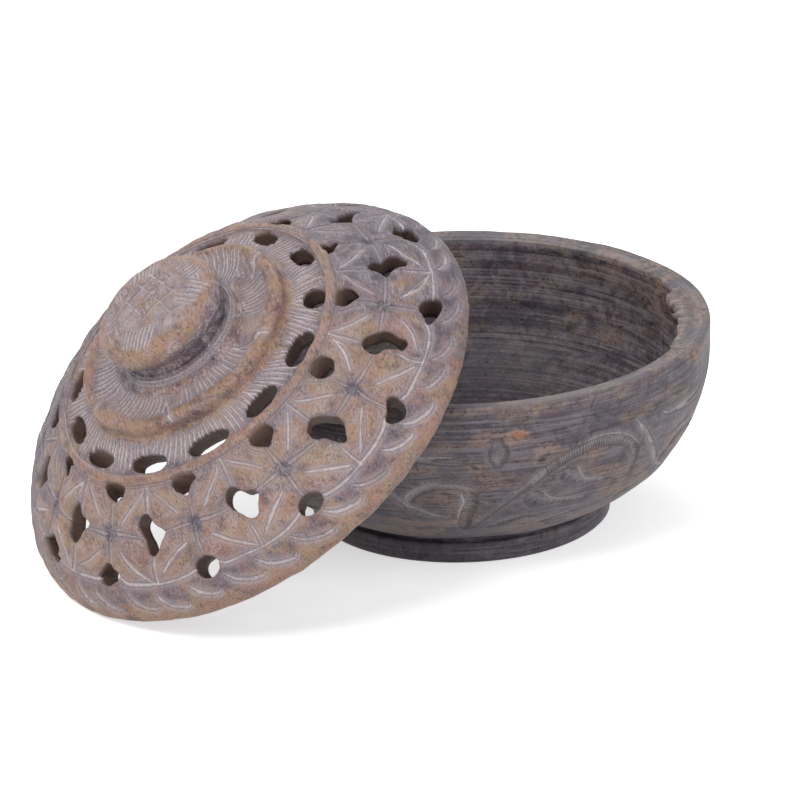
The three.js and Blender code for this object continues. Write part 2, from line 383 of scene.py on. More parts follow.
def layRing(outline, s, width, depth, dust=1.0, blunt=0.0, **sizes):
    # Strokes round the stone at length s. Their X runs outwards along the skin, Y round it.
    base = float(outline.radius(s))
    carrier = bpy.data.objects.new("layout", bpy.data.meshes.new("layout"))
    bpy.context.scene.collection.objects.link(carrier)
    modifier = carrier.modifiers.new("strokes", "NODES")
    modifier.node_group = strokeTree
    sizes["Radius"] = base
    for name, value in sizes.items():
        modifier[strokeSocket[name]] = value
    bpy.context.view_layer.update()
    plain = bpy.data.meshes.new_from_object(carrier.evaluated_get(bpy.context.evaluated_depsgraph_get()))
    spots = np.zeros(len(plain.vertices) * 3)
    plain.vertices.foreach_get("co", spots)
    spots = spots.reshape(-1, sizes["Points"], 3)
    bpy.data.objects.remove(carrier)
    bpy.data.meshes.remove(plain)
    strokes = []
    for line in spots:
        azimuth = np.arctan2(line[:, 1], line[:, 0])
        along = s + np.hypot(line[:, 0], line[:, 1]) - base
        middle = math.atan2(line[:, 1].mean(), line[:, 0].mean())
        around = circleDistance(azimuth, middle)
        centre = along.mean()
        radius = float(outline.radius(centre))
        path = np.stack([around * radius, along - centre], -1)
        strokes.append(makeStroke(outline, middle, centre, path, width, depth, dust, blunt))
    return strokes


# Holes: an outline cut through the stone in one direction

def closedLine(points, count, rough, seed):
    # a soft closed ring through given points, evenly spaced, a little uneven
    rng = random.Random(seed)
    p = np.array(points, float)
    fine = []
    for k in range(len(p)):
        a, b, c, d = p[k - 1], p[k], p[(k + 1) % len(p)], p[(k + 2) % len(p)]
        fine.extend(bend(a, b, c, d, u) for u in np.linspace(0, 1, 12, endpoint=False))
    fine = np.array(fine + fine[:1])
    pace = np.concatenate([[0], np.cumsum(np.hypot(*np.diff(fine, axis=0).T))])
    even = np.linspace(0, pace[-1], count, endpoint=False)
    ring = np.stack([np.interp(even, pace, fine[:, n]) for n in (0, 1)], -1)
    area = (ring[:, 0] * np.roll(ring[:, 1], -1) - np.roll(ring[:, 0], -1) * ring[:, 1]).sum()
    ring = ring if area > 0 else ring[::-1]
    return ring + np.array([[rng.uniform(-rough, rough) for _ in (0, 1)] for _ in ring])


# The skin builder

def layGround(outline, spacing, reach):
    # rings of ground points, closer together where spacing says so
    spots = [(0.0, 0.0)]
    s = 0.0
    row = 0
    rng = random.Random(7)
    while True:
        gap = spacing(s)
        s += gap * 0.87
        if s > reach - gap * 0.45:
            break
        count = max(6, round(2 * math.pi * float(outline.radius(s)) / gap))
        row += 1
        for j in range(count):
            azimuth = 2 * math.pi * (j + 0.5 * (row % 2)) / count
            spots.append((azimuth + rng.uniform(-0.1, 0.1) * 2 * math.pi / count,
                          s + rng.uniform(-0.08, 0.08) * gap))
    return spots


def makeSkin(outline, strokes, loops, spacing, rimCount, creases=()):
    # Returns the flat triangulation of the skin: azimuths, lengths, faces and loop indices
    spots, edges = [], []

    def addLine(azimuths, lengths, closed=False):
        first = len(spots)
        spots.extend(zip(azimuths, lengths))
        count = len(azimuths)
        edges.extend((first + i, first + i + 1) for i in range(count - 1))
        if closed:
            edges.append((first + count - 1, first))
        return list(range(first, first + count))

    ring = np.linspace(0, 2 * math.pi, rimCount, endpoint=False)
    rimRing = addLine(ring, np.full(rimCount, outline.length), True)
    for s, gap in creases:
        count = max(12, round(2 * math.pi * float(outline.radius(s)) / gap))
        around = np.linspace(0, 2 * math.pi, count, endpoint=False)
        addLine(around, np.full(count, s), True)
    loopRings = []
    for loop in loops:
        around = loop["azimuth"] + loop["points"][:, 0] / loop["radius"]
        loopRings.append(addLine(around, loop["s"] + loop["points"][:, 1], True))
    for stroke in strokes:
        for path in (stroke["path"], *strokeSides(stroke)):
            around = stroke["azimuth"] + path[:, 0] / stroke["radius"]
            addLine(around, np.minimum(stroke["s"] + path[:, 1], outline.length - 0.05))
    features = np.array(spots)
    ground = np.array(layGround(outline, spacing, outline.length))
    near = crowded(outline, ground, features, spacing)
    spots.extend(map(tuple, ground[~near]))
    allSpots = np.array(spots)
    x, y = outline.toPlan(allSpots[:, 0], allSpots[:, 1])
    flat = delaunay_2d_cdt([Vector(p) for p in zip(x, y)], edges, [], 0, 1e-7, True)
    flatSpots = np.array([(v.x, v.y) for v in flat[0]])
    faces = np.array(flat[2])
    found = {}
    for new, old in enumerate(flat[3]):
        for o in old:
            found[o] = new
    azimuth, s = outline.fromPlan(flatSpots[:, 0], flatSpots[:, 1])
    return {"azimuth": azimuth, "s": s, "faces": faces, "flat": flatSpots,
            "rim": [found[i] for i in rimRing],
            "loops": [[found[i] for i in ringIds] for ringIds in loopRings]}


def crowded(outline, ground, features, spacing):
    # which ground points lie too close to a line, found through a grid of small cells
    cell = 0.5
    where = outline.place(features[:, 0], features[:, 1])
    table = {}
    for p in where:
        table.setdefault(tuple((p // cell).astype(int)), []).append(p)
    out = np.zeros(len(ground), bool)
    spot = outline.place(ground[:, 0], ground[:, 1])
    for i, p in enumerate(spot):
        limit = min(0.42 * spacing(ground[i, 1]), cell)
        c = (p // cell).astype(int)
        out[i] = any((p[0] - q[0]) ** 2 + (p[1] - q[1]) ** 2 + (p[2] - q[2]) ** 2 < limit ** 2
                     for step in product((-1, 0, 1), repeat=3)
                     for q in table.get((c[0] + step[0], c[1] + step[1], c[2] + step[2]), ()))
    return out


def insideLoops(skin, loops):
    # which faces lie inside one of the loops, each a ring of point numbers
    centre = skin["flat"][skin["faces"]].mean(1)
    inside = np.zeros(len(centre), bool)
    for ids in loops:
        ring = skin["flat"][ids]
        low, high = ring.min(0), ring.max(0)
        near = np.where(((centre > low) & (centre < high)).all(1))[0]
        px, py = centre[near].T
        odd = np.zeros(len(near), bool)
        for (x1, y1), (x2, y2) in zip(ring, np.roll(ring, -1, 0)):
            cross = (y1 > py) != (y2 > py)
            with np.errstate(divide="ignore", invalid="ignore"):
                odd ^= cross & (px < (x2 - x1) * (py - y1) / (y2 - y1) + x1)
        inside[near[odd]] = True
    return inside


def carve(skin, strokes):
    # depth of the cuts, the pale dust in them and the haze of it beside them, at every point
    azimuth, s = skin["azimuth"], skin["s"]
    depth = np.zeros(len(s))
    dust = np.zeros(len(s))
    haze = np.zeros(len(s))
    for stroke in strokes:
        path = stroke["path"]
        spread = 1.7 if stroke["width"] > 0.87 else 0.3
        half = stroke["width"] / 2
        widths = strokeWidths(stroke)
        b = circleDistance(azimuth, stroke["azimuth"]) * stroke["radius"]
        a = s - stroke["s"]
        low, high = path.min(0) - half - spread, path.max(0) + half + spread
        near = np.where((b > low[0]) & (b < high[0]) & (a > low[1]) & (a < high[1]))[0]
        if not len(near):
            continue
        p = np.stack([b[near], a[near]], -1)
        start, end = path[:-1], path[1:]
        run = end - start
        t = ((p[:, None] - start) * run).sum(2) / np.maximum((run ** 2).sum(1), 1e-9)
        t = np.clip(t, 0, 1)
        gap = np.hypot(*np.moveaxis(p[:, None] - start - t[..., None] * run, 2, 0))
        k = gap.argmin(1)
        rows = np.arange(len(near))
        reach = widths[k] + (widths[k + 1] - widths[k]) * t[rows, k]
        gap = gap[rows, k]
        share = np.clip((1 - gap / np.maximum(reach, 1e-6)) * stroke.get("flat", 1.0), 0, 1)
        deep = stroke["depth"] * share * reach / half
        if stroke.get("adds"):
            depth[near] += deep
        else:
            depth[near] = np.maximum(depth[near], deep)
        dust[near] = np.maximum(dust[near], stroke["dust"] * np.clip(share * 1.5, 0, 1))
        away = np.clip(1 - (gap - reach) / spread, 0, 1) ** 2 * np.clip(reach / half * 1.5, 0, 1)
        haze[near] = np.maximum(haze[near], min(stroke["dust"], 1.0) * away)
    return depth, dust, haze


def boundaryRings(faces):
    # closed rings of the edges that have a face on one side only
    sides = np.concatenate([faces[:, [0, 1]], faces[:, [1, 2]], faces[:, [2, 0]]])
    have = set(map(tuple, sides.tolist()))
    following = {a: b for a, b in have if (b, a) not in have}
    rings = []
    while following:
        start = next(iter(following))
        ring = [start]
        step = following.pop(start)
        while step != start:
            ring.append(step)
            step = following.pop(step)
        rings.append(ring)
    return rings


def dropUnused(points, faces, carried):
    # leaves out the points that no face uses
    used = np.unique(faces)
    compact = np.full(len(points), -1)
    compact[used] = np.arange(len(used))
    return points[used], compact[faces], {key: values[used] for key, values in carried.items()}


def spacedCreases(places, gap, apart):
    # rings of points along the outline's corners, but not where two lie closer than apart
    places = [(c, gap) for c in places]
    return [c for i, c in enumerate(places) if i == 0 or c[0] - places[i - 1][0] > apart]


def addMesh(name, points, faces, attributes, material):
    # points in millimetres in the shared frame
    mesh = bpy.data.meshes.new(name)
    mesh.from_pydata((points * mm).tolist(), [], faces.tolist())
    mesh.validate()
    for key, values in attributes.items():
        layer = mesh.attributes.new(key, "FLOAT", "POINT")
        layer.data.foreach_set("value", np.asarray(values, np.float32))
    mesh.polygons.foreach_set("use_smooth", np.ones(len(mesh.polygons), bool))
    mesh.materials.append(material)
    thing = bpy.data.objects.new(name, mesh)
    bpy.context.scene.collection.objects.link(thing)
    check = bmesh.new()
    check.from_mesh(mesh)
    openEdges = sum(1 for e in check.edges if len(e.link_faces) != 2)
    print(f"{name}: {len(mesh.polygons)} triangles, {openEdges} open edges, "
          f"{check.calc_volume(signed=True) * 1e6:.1f} cm3")
    check.free()
    return thing


def roughness(points, grain, height, seed):
    # low, rounded unevenness of a surface worked by hand
    shift = Vector((seed * 3.7, seed * 1.3, seed * 2.1))
    return np.array([noise.noise(Vector(p) / grain + shift) for p in points]) * height


def softStep(t):
    t = np.clip(t, 0, 1)
    return t * t * (3 - 2 * t)


# The lid

drillReach = 14.0      # longer than the wall is thick, in millimetres
drillHalvings = 30     # to where a wall comes out below
wallSteps = 4          # rings of points down a wall

lidSettings = {
    "radius": 50.8, "lipRound": 2.2, "lipHeight": -0.4, "seat": 2.8, "hollowEdge": 0.6,
    "ceilingRadius": 26.0, "ceiling": 15.3, "bossRadius": 6.5, "boss": 7.3,
    "flowers": 12, "firstFlower": 15.4, "flowerRadius": 40.0,
    "innerVertex": 32.6, "outerVertex": 47.3, "innerRow": 32.35, "holeRow": 39.6,
    "bandHoleRadius": 28.1,
    # how far each row of openings is drilled off square, up to a radius: radians
    "drillTilt": ((30.4, 0.06), (36.5, -0.68), (43.0, -0.2), (60.0, -0.3)),
    "leafMiddle": 19.0, "leafEnds": (222.8, 290.5, 353.8, 51.0, 108.0, 165.5),     # degrees round the lid
    "ground": 0.95, "groundUnder": 2.0, "rimPoints": 420,
}


def lidTopOutline(s):
    radius, lip = s["radius"], s["lipRound"]
    centre = radius - lip
    points = [(0, 35.3), (3, 35.27), (6, 35.15), (9, 34.85), (11.2, 34.4), (11.75, 34.1)]
    points += bezier(points[-1], (13.3, 33.1), (14.1, 31.8), (13.4, 30.2), 7)
    points += bezier(points[-1], (12.7, 28.9), (11.1, 28.6), (11.0, 27.4), 6)
    points += [(11.0, 26.7), (11.35, 26.15), (11.75, 26.25), (12.05, 25.95), (12.15, 25.55),
               (12.55, 25.65), (12.95, 25.4), (13.15, 25.0), (13.2, 24.2)]
    points += bezier(points[-1], (14.7, 22.9), (17.6, 22.8), (20.2, 24.0), 8)
    points += bezier(points[-1], (21.4, 24.6), (22.9, 24.5), (22.95, 23.4), 6)
    points += [(23.0, 21.35), (23.35, 21.05), (30.3, 18.85), (30.4, 19.15), (30.65, 19.35),
               (31.4, 19.3), (32.0, 19.0), (32.35, 18.65), (32.5, 18.4)]
    points += bezier(points[-1], (44.5, 9.8), (radius, 3.2), (radius, s["lipHeight"]), 24)
    for i in range(1, 9):
        a = -math.pi / 2 * i / 8
        points.append((centre + lip * math.cos(a), s["lipHeight"] + lip * math.sin(a)))
    return points


def lidUnderOutline(s):
    seatHeight = s["lipHeight"] - s["lipRound"]
    seatOuter = s["radius"] - s["lipRound"]
    seatInner = seatOuter - s["seat"]
    hollow = (seatInner - s["hollowEdge"], seatHeight + s["hollowEdge"])
    rise = s["ceiling"] - hollow[1]
    points = [(0, s["boss"]), (s["bossRadius"], s["boss"])]
    points += bezier(points[-1], (13.0, s["boss"]), (16.0, s["ceiling"]),
                     (s["ceilingRadius"], s["ceiling"]), 12)
    points += bezier(points[-1], (s["ceilingRadius"] + 8.6, s["ceiling"]),
                     (hollow[0] - 0.6, hollow[1] + rise * 0.32), hollow, 20)
    points += [(seatInner, seatHeight), (seatOuter, seatHeight)]
    return points


def flowerStrokes(top, s, k, rng):
    # lines of one four-petal flower, in millimetres from its centre: round the lid, down the slope
    middle = turn(s["firstFlower"] + 360 / s["flowers"] * k)
    centre = top.at(s["flowerRadius"])
    near = top.at(s["innerVertex"], top.at(s["innerVertex"] - 0.4)) - centre
    far = top.at(s["outerVertex"]) - centre
    half = math.pi / s["flowers"] * s["flowerRadius"]
    hole = top.at(s["holeRow"]) + 9.5 - centre

    def line(points, width, depth, dust, blunt=0.0, count=7, **more):
        jog = [(x + rng.uniform(-0.2, 0.2), y + rng.uniform(-0.2, 0.2)) for x, y in points]
        wide = width * rng.uniform(0.85, 1.15)
        return makeStroke(top, middle, centre, smooth(jog, count), wide, depth, dust, blunt, **more)

    def vein(start, end, wide):
        # two bowed cuts that meet at both ends, or one
        a, b = np.array(start), np.array(end)
        across = np.array([-(b - a)[1], (b - a)[0]]) / np.hypot(*(b - a))
        mid = (a + b) / 2 + across * rng.uniform(-0.5, 0.5)
        if wide < 0.3:
            return [line([a, mid, b], 1.0, 0.42, rng.uniform(0.75, 1.0))]
        return [line([a, mid + across * wide, b], 0.9, 0.4, rng.uniform(0.75, 0.95)),
                line([a, mid - across * wide, b], 0.8, 0.36, rng.uniform(0.35, 0.6))]

    out = []
    out += vein((-half + 0.9, near + 0.8), (-2.3, -1.9), 0.0)
    out += vein((half - 0.9, near + 1.1), (2.4, -1.6), 0.45 if k % 3 == 1 else 0.0)
    out += vein((-1.9, 2.8), (-half + 0.9, far - 1.4), 0.45 if k % 2 else 0.0)
    out += vein((2.1, 2.7), (half - 0.5, far - 0.4), 0.5 if k % 4 == 2 else 0.0)
    # cuts between the petals, from the middle out to the four holes
    wedge = ((0, 0.5), (0.25, 1), (0.6, 0.6), (1, 0.35))
    out.append(line([(0, -1.0), (0.1, -3.0), (0, -6.2)], 1.7, 0.5, 0.62, shape=wedge))
    out.append(line([(0, 1.0), (-0.15, 3.4), (0, hole)], 1.7, 0.5, 0.62, shape=wedge))
    out.append(line([(1.0, 0), (4.0, 0.2), (8.4, 0.5)], 1.7, 0.5, 0.62, shape=wedge))
    out.append(line([(-1.0, 0), (-4.0, 0.1), (-8.4, 0.3)], 1.7, 0.5, 0.62, shape=wedge))
    out.append(line([(-0.5, -0.2), (0, 0.1), (0.5, 0.2)], 2.2, 0.4, 0.0, 1.0, 4, flat=2.0))
    # cuts from the hole beside it to both points of the pattern
    out.append(line([(half, near + 0.2), (half + 0.1, near + 2.2), (half, -3.2)], 1.15, 0.6, 0.85, 0.6))
    if k % 2:
        out.append(line([(half - 1.3, near + 0.6), (half - 1.6, near + 2.4), (half - 2.1, near + 4.2)],
                        0.8, 0.36, 0.8, 0.3))
    out.append(line([(half, 4.6), (half - 0.1, 7.6), (half, far)], 1.0, 0.5, 0.85, 0.5))
    # border line, drawn in to both sides of the outer hole
    out.append(line([(-half, far), (-half * 0.6, far - 0.15), (-3.6, far - 0.6), (-2.0, hole - 0.5)],
                    1.15, 0.5, 0.85, 0.6, 9))
    out.append(line([(2.0, hole - 0.4), (3.4, far - 0.5), (half * 0.6, far - 0.1), (half, far)],
                    1.15, 0.5, 0.85, 0.6, 9))
    # petal edges beside the inner hole
    out.append(line([(-3.4, near + 0.6), (-2.9, near + 2.6), (-0.7, near + 4.9)], 0.8, 0.3, 0.6))
    out.append(line([(3.4, near + 0.6), (2.9, near + 2.7), (0.7, near + 4.9)], 0.8, 0.3, 0.6))
    return out


# Openings as measured, in millimetres: round the lid, then down the slope. Those that show
# are numbered as flowers 0 to 5, and the rest repeat them.
sideHoles = {
    0: [(-2.9, -1.4), (-2.1, -2.9), (-0.8, -3.4), (0.5, -2.6), (1.3, -1.2), (3.5, 0.7), (2.4, 2.2),
        (1.4, 4.0), (0.1, 5.0), (-1.0, 4.4), (-1.5, 2.2), (-2.3, 0.4)],
    1: [(-2.5, -1.4), (-1.6, -2.4), (-0.5, -2.7), (0.5, -2.1), (1.5, -0.7), (3.2, 0.0), (3.8, 1.4),
        (2.9, 2.9), (2.1, 4.6), (1.2, 5.1), (0.1, 4.5), (-0.9, 3.1), (-1.9, 1.6), (-2.7, 0.0)],
    2: [(-2.3, -0.4), (-1.9, -1.8), (-0.5, -2.7), (0.8, -2.9), (2.2, -1.8), (3.2, -0.4), (4.1, 1.1),
        (3.7, 2.9), (2.5, 4.3), (1.5, 5.5), (0.7, 5.2), (0.0, 3.6), (-0.7, 1.8), (-1.9, 0.9)],
    3: [(-1.8, 0.2), (-1.1, -1.4), (0.3, -2.1), (2.0, -1.6), (3.0, -0.4), (4.1, 0.9), (4.4, 2.5),
        (3.6, 4.4), (3.4, 6.0), (2.3, 6.6), (1.1, 6.0), (0.8, 4.4), (0.1, 2.7), (-1.4, 1.7)],
    4: [(-2.3, 1.2), (-1.0, 0.0), (0.1, -1.8), (1.1, -2.3), (2.8, -0.9), (2.6, 0.7), (4.2, 2.3),
        (4.4, 3.9), (3.5, 5.2), (2.3, 6.0), (1.2, 5.5), (0.7, 3.9), (-0.2, 2.5)],
    5: [(-1.6, 1.2), (-0.1, -0.7), (1.2, -2.1), (2.5, -1.4), (2.6, 0.2), (3.9, 1.6), (4.4, 3.4),
        (3.9, 5.2), (3.0, 6.3), (2.2, 5.6), (1.9, 4.1), (0.2, 2.3)],
    11: [(-3.4, -1.1), (-1.9, -3.0), (-0.6, -3.4), (0.1, -1.4), (3.3, -0.3), (1.8, 1.7), (0.5, 4.1),
         (-1.1, 4.9), (-3.0, 3.9), (-3.5, 1.4)],
    10: [(-2.8, -0.7), (-1.4, -2.8), (0.2, -2.9), (1.4, -1.1), (3.1, -0.2), (1.9, 1.6), (1.0, 3.9),
         (-0.6, 4.6), (-2.2, 3.4), (-2.7, 1.2)],
}
innerHoles = {
    0: [(-3.0, 0.6), (-2.2, -0.4), (0.1, -0.7), (2.1, -0.2), (3.1, 1.2), (2.3, 2.4), (1.0, 3.5),
        (-0.5, 3.0), (-2.2, 1.9)],
    1: [(-2.9, 1.2), (-2.3, 0.0), (-0.6, -0.4), (1.7, 0.1), (2.7, 1.5), (1.3, 2.7), (0.1, 4.3),
        (-1.1, 3.5), (-2.3, 2.4)],
    2: [(-1.8, 1.5), (-1.4, 0.2), (0.1, -0.4), (2.1, -0.3), (3.2, 1.0), (3.1, 2.6), (1.8, 3.6),
        (0.7, 4.6), (-0.4, 3.6), (-1.5, 2.6)],
    3: [(-1.3, 1.9), (-0.7, 0.2), (0.7, -0.3), (2.7, -0.2), (3.6, 1.3), (3.5, 3.1), (2.2, 4.3),
        (1.0, 4.7), (-0.4, 4.0), (-1.1, 3.0)],
    4: [(-1.5, 1.6), (-0.9, 0.2), (0.8, -0.1), (2.8, 0.0), (3.8, 1.6), (3.5, 3.0), (2.3, 4.1),
        (1.1, 4.8), (0.1, 3.7), (-1.0, 2.7)],
    5: [(-2.4, 0.7), (-1.1, -0.2), (0.8, -0.3), (1.7, 0.3), (1.0, 1.2), (1.2, 2.2), (1.4, 3.0),
        (0.6, 3.5), (-0.3, 2.9), (-1.2, 2.2), (-2.1, 1.6)],
}
outerHoles = {
    0: [(-3.4, 8.8), (-2.0, 7.1), (-0.9, 6.2), (0.4, 7.3), (2.0, 8.4), (1.4, 9.7), (-0.1, 10.7),
        (-1.5, 11.1), (-3.1, 10.4)],
    1: [(-2.6, 9.5), (-2.1, 8.0), (-0.4, 7.2), (1.2, 7.8), (2.0, 9.3), (1.5, 11.0), (-0.1, 11.8),
        (-1.8, 11.2)],
    2: [(-2.5, 9.2), (-1.9, 7.7), (-0.3, 7.0), (1.5, 7.6), (2.3, 9.0), (1.7, 10.5), (0.0, 11.2),
        (-1.8, 10.7)],
    3: [(-2.2, 9.6), (-1.5, 8.6), (-0.3, 8.2), (0.4, 7.5), (1.6, 7.0), (2.4, 7.9), (2.4, 9.6),
        (1.6, 11.2), (0.4, 12.0), (-1.0, 11.5), (-1.9, 10.7)],
    4: [(-2.4, 9.6), (-0.6, 8.2), (0.8, 7.2), (2.1, 7.5), (3.3, 8.7), (4.0, 10.9), (3.4, 11.9),
        (1.7, 12.0), (-0.5, 11.1)],
    5: [(-1.7, 9.8), (0.4, 8.0), (1.8, 6.2), (2.9, 6.9), (4.9, 8.2), (4.3, 9.4), (4.9, 10.9),
        (3.8, 11.8), (2.5, 11.4), (0.6, 11.6)],
}
# oval openings of the band: degrees round the lid, then length, width and slant, and how far
# one is drilled off square beyond its row
bandHoles = (
    (14.8, 7.4, 3.8, 14), (44.0, 8.4, 3.8, -4), (74.0, 8.8, 3.9, 5), (102.0, 8.2, 3.8, -6),
    (129.0, 8.6, 3.9, 3), (156.0, 8.2, 3.8, 0), (181.0, 8.4, 3.8, -3, -0.9), (209.7, 9.2, 3.8, 3),
    (238.4, 9.5, 4.0, 3), (265.3, 8.3, 3.8, -1), (292.4, 8.8, 4.5, 2), (318.5, 5.6, 4.7, -12),
    (347.1, 7.6, 3.9, -4),
)


def lidHoles(top, s):
    holes = []
    step = 360 / s["flowers"]

    def add(azimuth, radius, after, points, sides, seed):
        reach = top.at(radius, top.at(after))
        local = float(top.radius(reach))
        ring = closedLine(points, sides, 0.05, seed)
        holes.append({"azimuth": turn(azimuth), "s": reach, "points": ring, "radius": local,
                      "middle": ring.mean(0), "tilt": 0.0})

    for k in range(s["flowers"]):
        # flower k of the pattern that faces the eye is number k + 6 round the lid
        shown = (k - 6) % s["flowers"]
        flower = s["firstFlower"] + step * k
        add(flower, s["innerRow"], 31.5, innerHoles[shown % 6], 24, 10 + k)
        add(flower, s["holeRow"], 34, outerHoles[shown % 6], 24, 40 + k)
        side = sideHoles.get(shown) or sideHoles[(shown * 5) % 6]
        add(flower + step / 2, s["holeRow"], 34, side, 36, 70 + k)
    for i, (azimuth, length, width, slant, *tilt) in enumerate(bandHoles):
        tip = turn(slant)
        axis = np.array([math.cos(tip), math.sin(tip)]) * length / 2
        across = np.array([-math.sin(tip), math.cos(tip)]) * width / 2
        ring = [axis * x + across * y for x, y in
                ((1, 0), (0.78, 0.72), (0.3, 1), (-0.3, 1), (-0.78, 0.72), (-1, 0), (-0.78, -0.7),
                 (-0.3, -1), (0.3, -1), (0.78, -0.72))]
        add(azimuth, s["bandHoleRadius"], 23.3, ring, 30, 100 + i)
        holes[-1]["tilt"] = sum(tilt)
    return holes


def lidStrokes(top, s):
    rng = random.Random(5)
    out = []
    for k in range(s["flowers"]):
        out += flowerStrokes(top, s, k, rng)
    # curved cuts on the rim, each ending in a small hook
    count = 38
    rimStart = top.at(s["outerVertex"]) + 1.3
    for i in range(count):
        middle = turn(360 / count * (i + rng.uniform(-0.12, 0.12)))
        size = rng.uniform(0.9, 1.15)
        path = [(0, 0), (1.4, 1.7), (3.8, 3.0), (6.3, 3.6), (7.0, 3.0)]
        path = [(x * size, y * size) for x, y in path]
        out.append(makeStroke(top, middle, rimStart + rng.uniform(-0.4, 0.4), smooth(path, 9),
                              1.2, 0.6, rng.uniform(0.65, 1.0), 0.25))
    # crisp line on the inner edge of the raised ring, and the line at its foot
    out += ringLine(top, top.at(30.42), 0.5, 0.22, 0.8, rng)
    out += ringLine(top, top.at(32.62, top.at(32.0)) + 0.1, 0.8, 0.3, 0.5, rng)
    # band hatching, leaning its own way between each two openings
    openings = sorted(b[0] for b in bandHoles)
    bandStart = top.at(23.5, top.at(23.2))
    for i, start in enumerate(openings):
        stop = openings[(i + 1) % len(openings)]
        wide = (stop - start) % 360
        lean = bandLean[i % len(bandLean)]
        lines = max(6, round(turn(wide) * 26.8 / 1.12))
        out += layRing(top, bandStart + 0.15, 0.78, 0.42, 0.98, 0.4, Count=lines, Points=5, **{
            "First Angle": turn(start + 1), "Angle Step": turn(wide) / lines,
            "Start": (0.1, -3.2 * lean, 0), "Middle": (3.0, 0.3, 0), "End": (6.0, 2.6 * lean, 0),
            "Tilt Jitter": 0.06, "Length Jitter": 0.06, "Place Jitter": 0.006, "Seed": 40 + i})
    # two fine rows of beads on the collar
    neck = top.down(27.0)
    for radius, seed in ((12.3, 4), (13.05, 5)):
        out += layRing(top, top.at(radius, neck) - 0.25, 0.3, 0.16, 0.95, 0.6, Count=84, Points=3, **{
            "Angle Step": 2 * math.pi / 84, "Start": (0.0, 0, 0), "Middle": (0.25, 0, 0),
            "End": (0.5, 0, 0), "Tilt Jitter": 0.2, "Seed": seed})
        out += ringLine(top, top.at(radius, neck) + 0.3, 0.42, 0.12, 1.2, rng)
    out += leafStrokes(top, s)
    out += knobStrokes(top, rng)
    return out


# how far the hatching leans between the openings of the band, from one to the next
bandLean = (0.3, -0.2, 0.25, 0.1, -0.3, 0.2, 0.35, -0.1, 0.05, 0.45, -0.35, 0.3, -0.25)


def ringLine(outline, s, width, depth, dust, rng):
    # one cut all the way round, as short joined pieces
    pieces = 24
    out = []
    for i in range(pieces):
        a = 2 * math.pi * i / pieces
        radius = float(outline.radius(s))
        half = math.pi / pieces * radius
        wave = rng.uniform(-0.06, 0.06)
        path = [(-half, 0), (0, wave), (half, 0)]
        out.append(makeStroke(outline, a, s, smooth(path, 7), width, depth, dust, 1.0))
    return out


def leafStrokes(top, s):
    out = []
    ends = sorted(s["leafEnds"])
    neck = top.down(27.0)
    inner = top.at(14.1, neck)
    for i, start in enumerate(ends):
        stop = ends[(i + 1) % len(ends)]
        wide = (stop - start) % 360
        # S-shaped line where one leaf overlaps the next
        foot = top.at(15.0, neck)
        edge = top.at(22.6, neck) + 0.6
        path = [(-2.6, 0), (-1.2, (edge - foot) * 0.3), (0.2, (edge - foot) * 0.65), (1.3, edge - foot)]
        out.append(makeStroke(top, turn(start), foot, smooth(path, 9), 1.1, 0.6, 0.9, 0.5,
                              radius=s["leafMiddle"]))
        reach, lean, skip = leafHatch[i]
        lines = max(4, round(turn(wide - skip - 5) * 17.0 / 1.08))
        out += layRing(top, inner, 0.76, 0.4, 0.95, 0.35, Count=lines, Points=6, **{
            "First Angle": turn(start + skip), "Angle Step": turn(wide - skip - 5) / lines,
            "Start": (0.3, 0, 0), "Middle": (reach * 0.5, lean * 0.4, 0), "End": (reach, lean, 0),
            "Tilt Jitter": 0.05, "Length Jitter": 0.1, "Place Jitter": 0.008, "Seed": 20 + i})
    # a few long cuts that run out over the border of the front leaf
    for azimuth in (267.0, 269.4, 272.0):
        out.append(makeStroke(top, turn(azimuth), top.at(19.6, neck),
                              [(0, 0), (0.1, 1.1), (0, 2.4)], 0.55, 0.26, 0.9, 0.3))
    return out


# hatching of the six leaves in the order of leafEnds sorted: length, sideways lean, start after
leafHatch = ((6.6, 0.3, 8), (6.2, 2.0, 8), (5.6, 0.4, 10), (5.2, 0.3, 8), (5.7, 0.2, 24), (7.0, 4.2, 6))


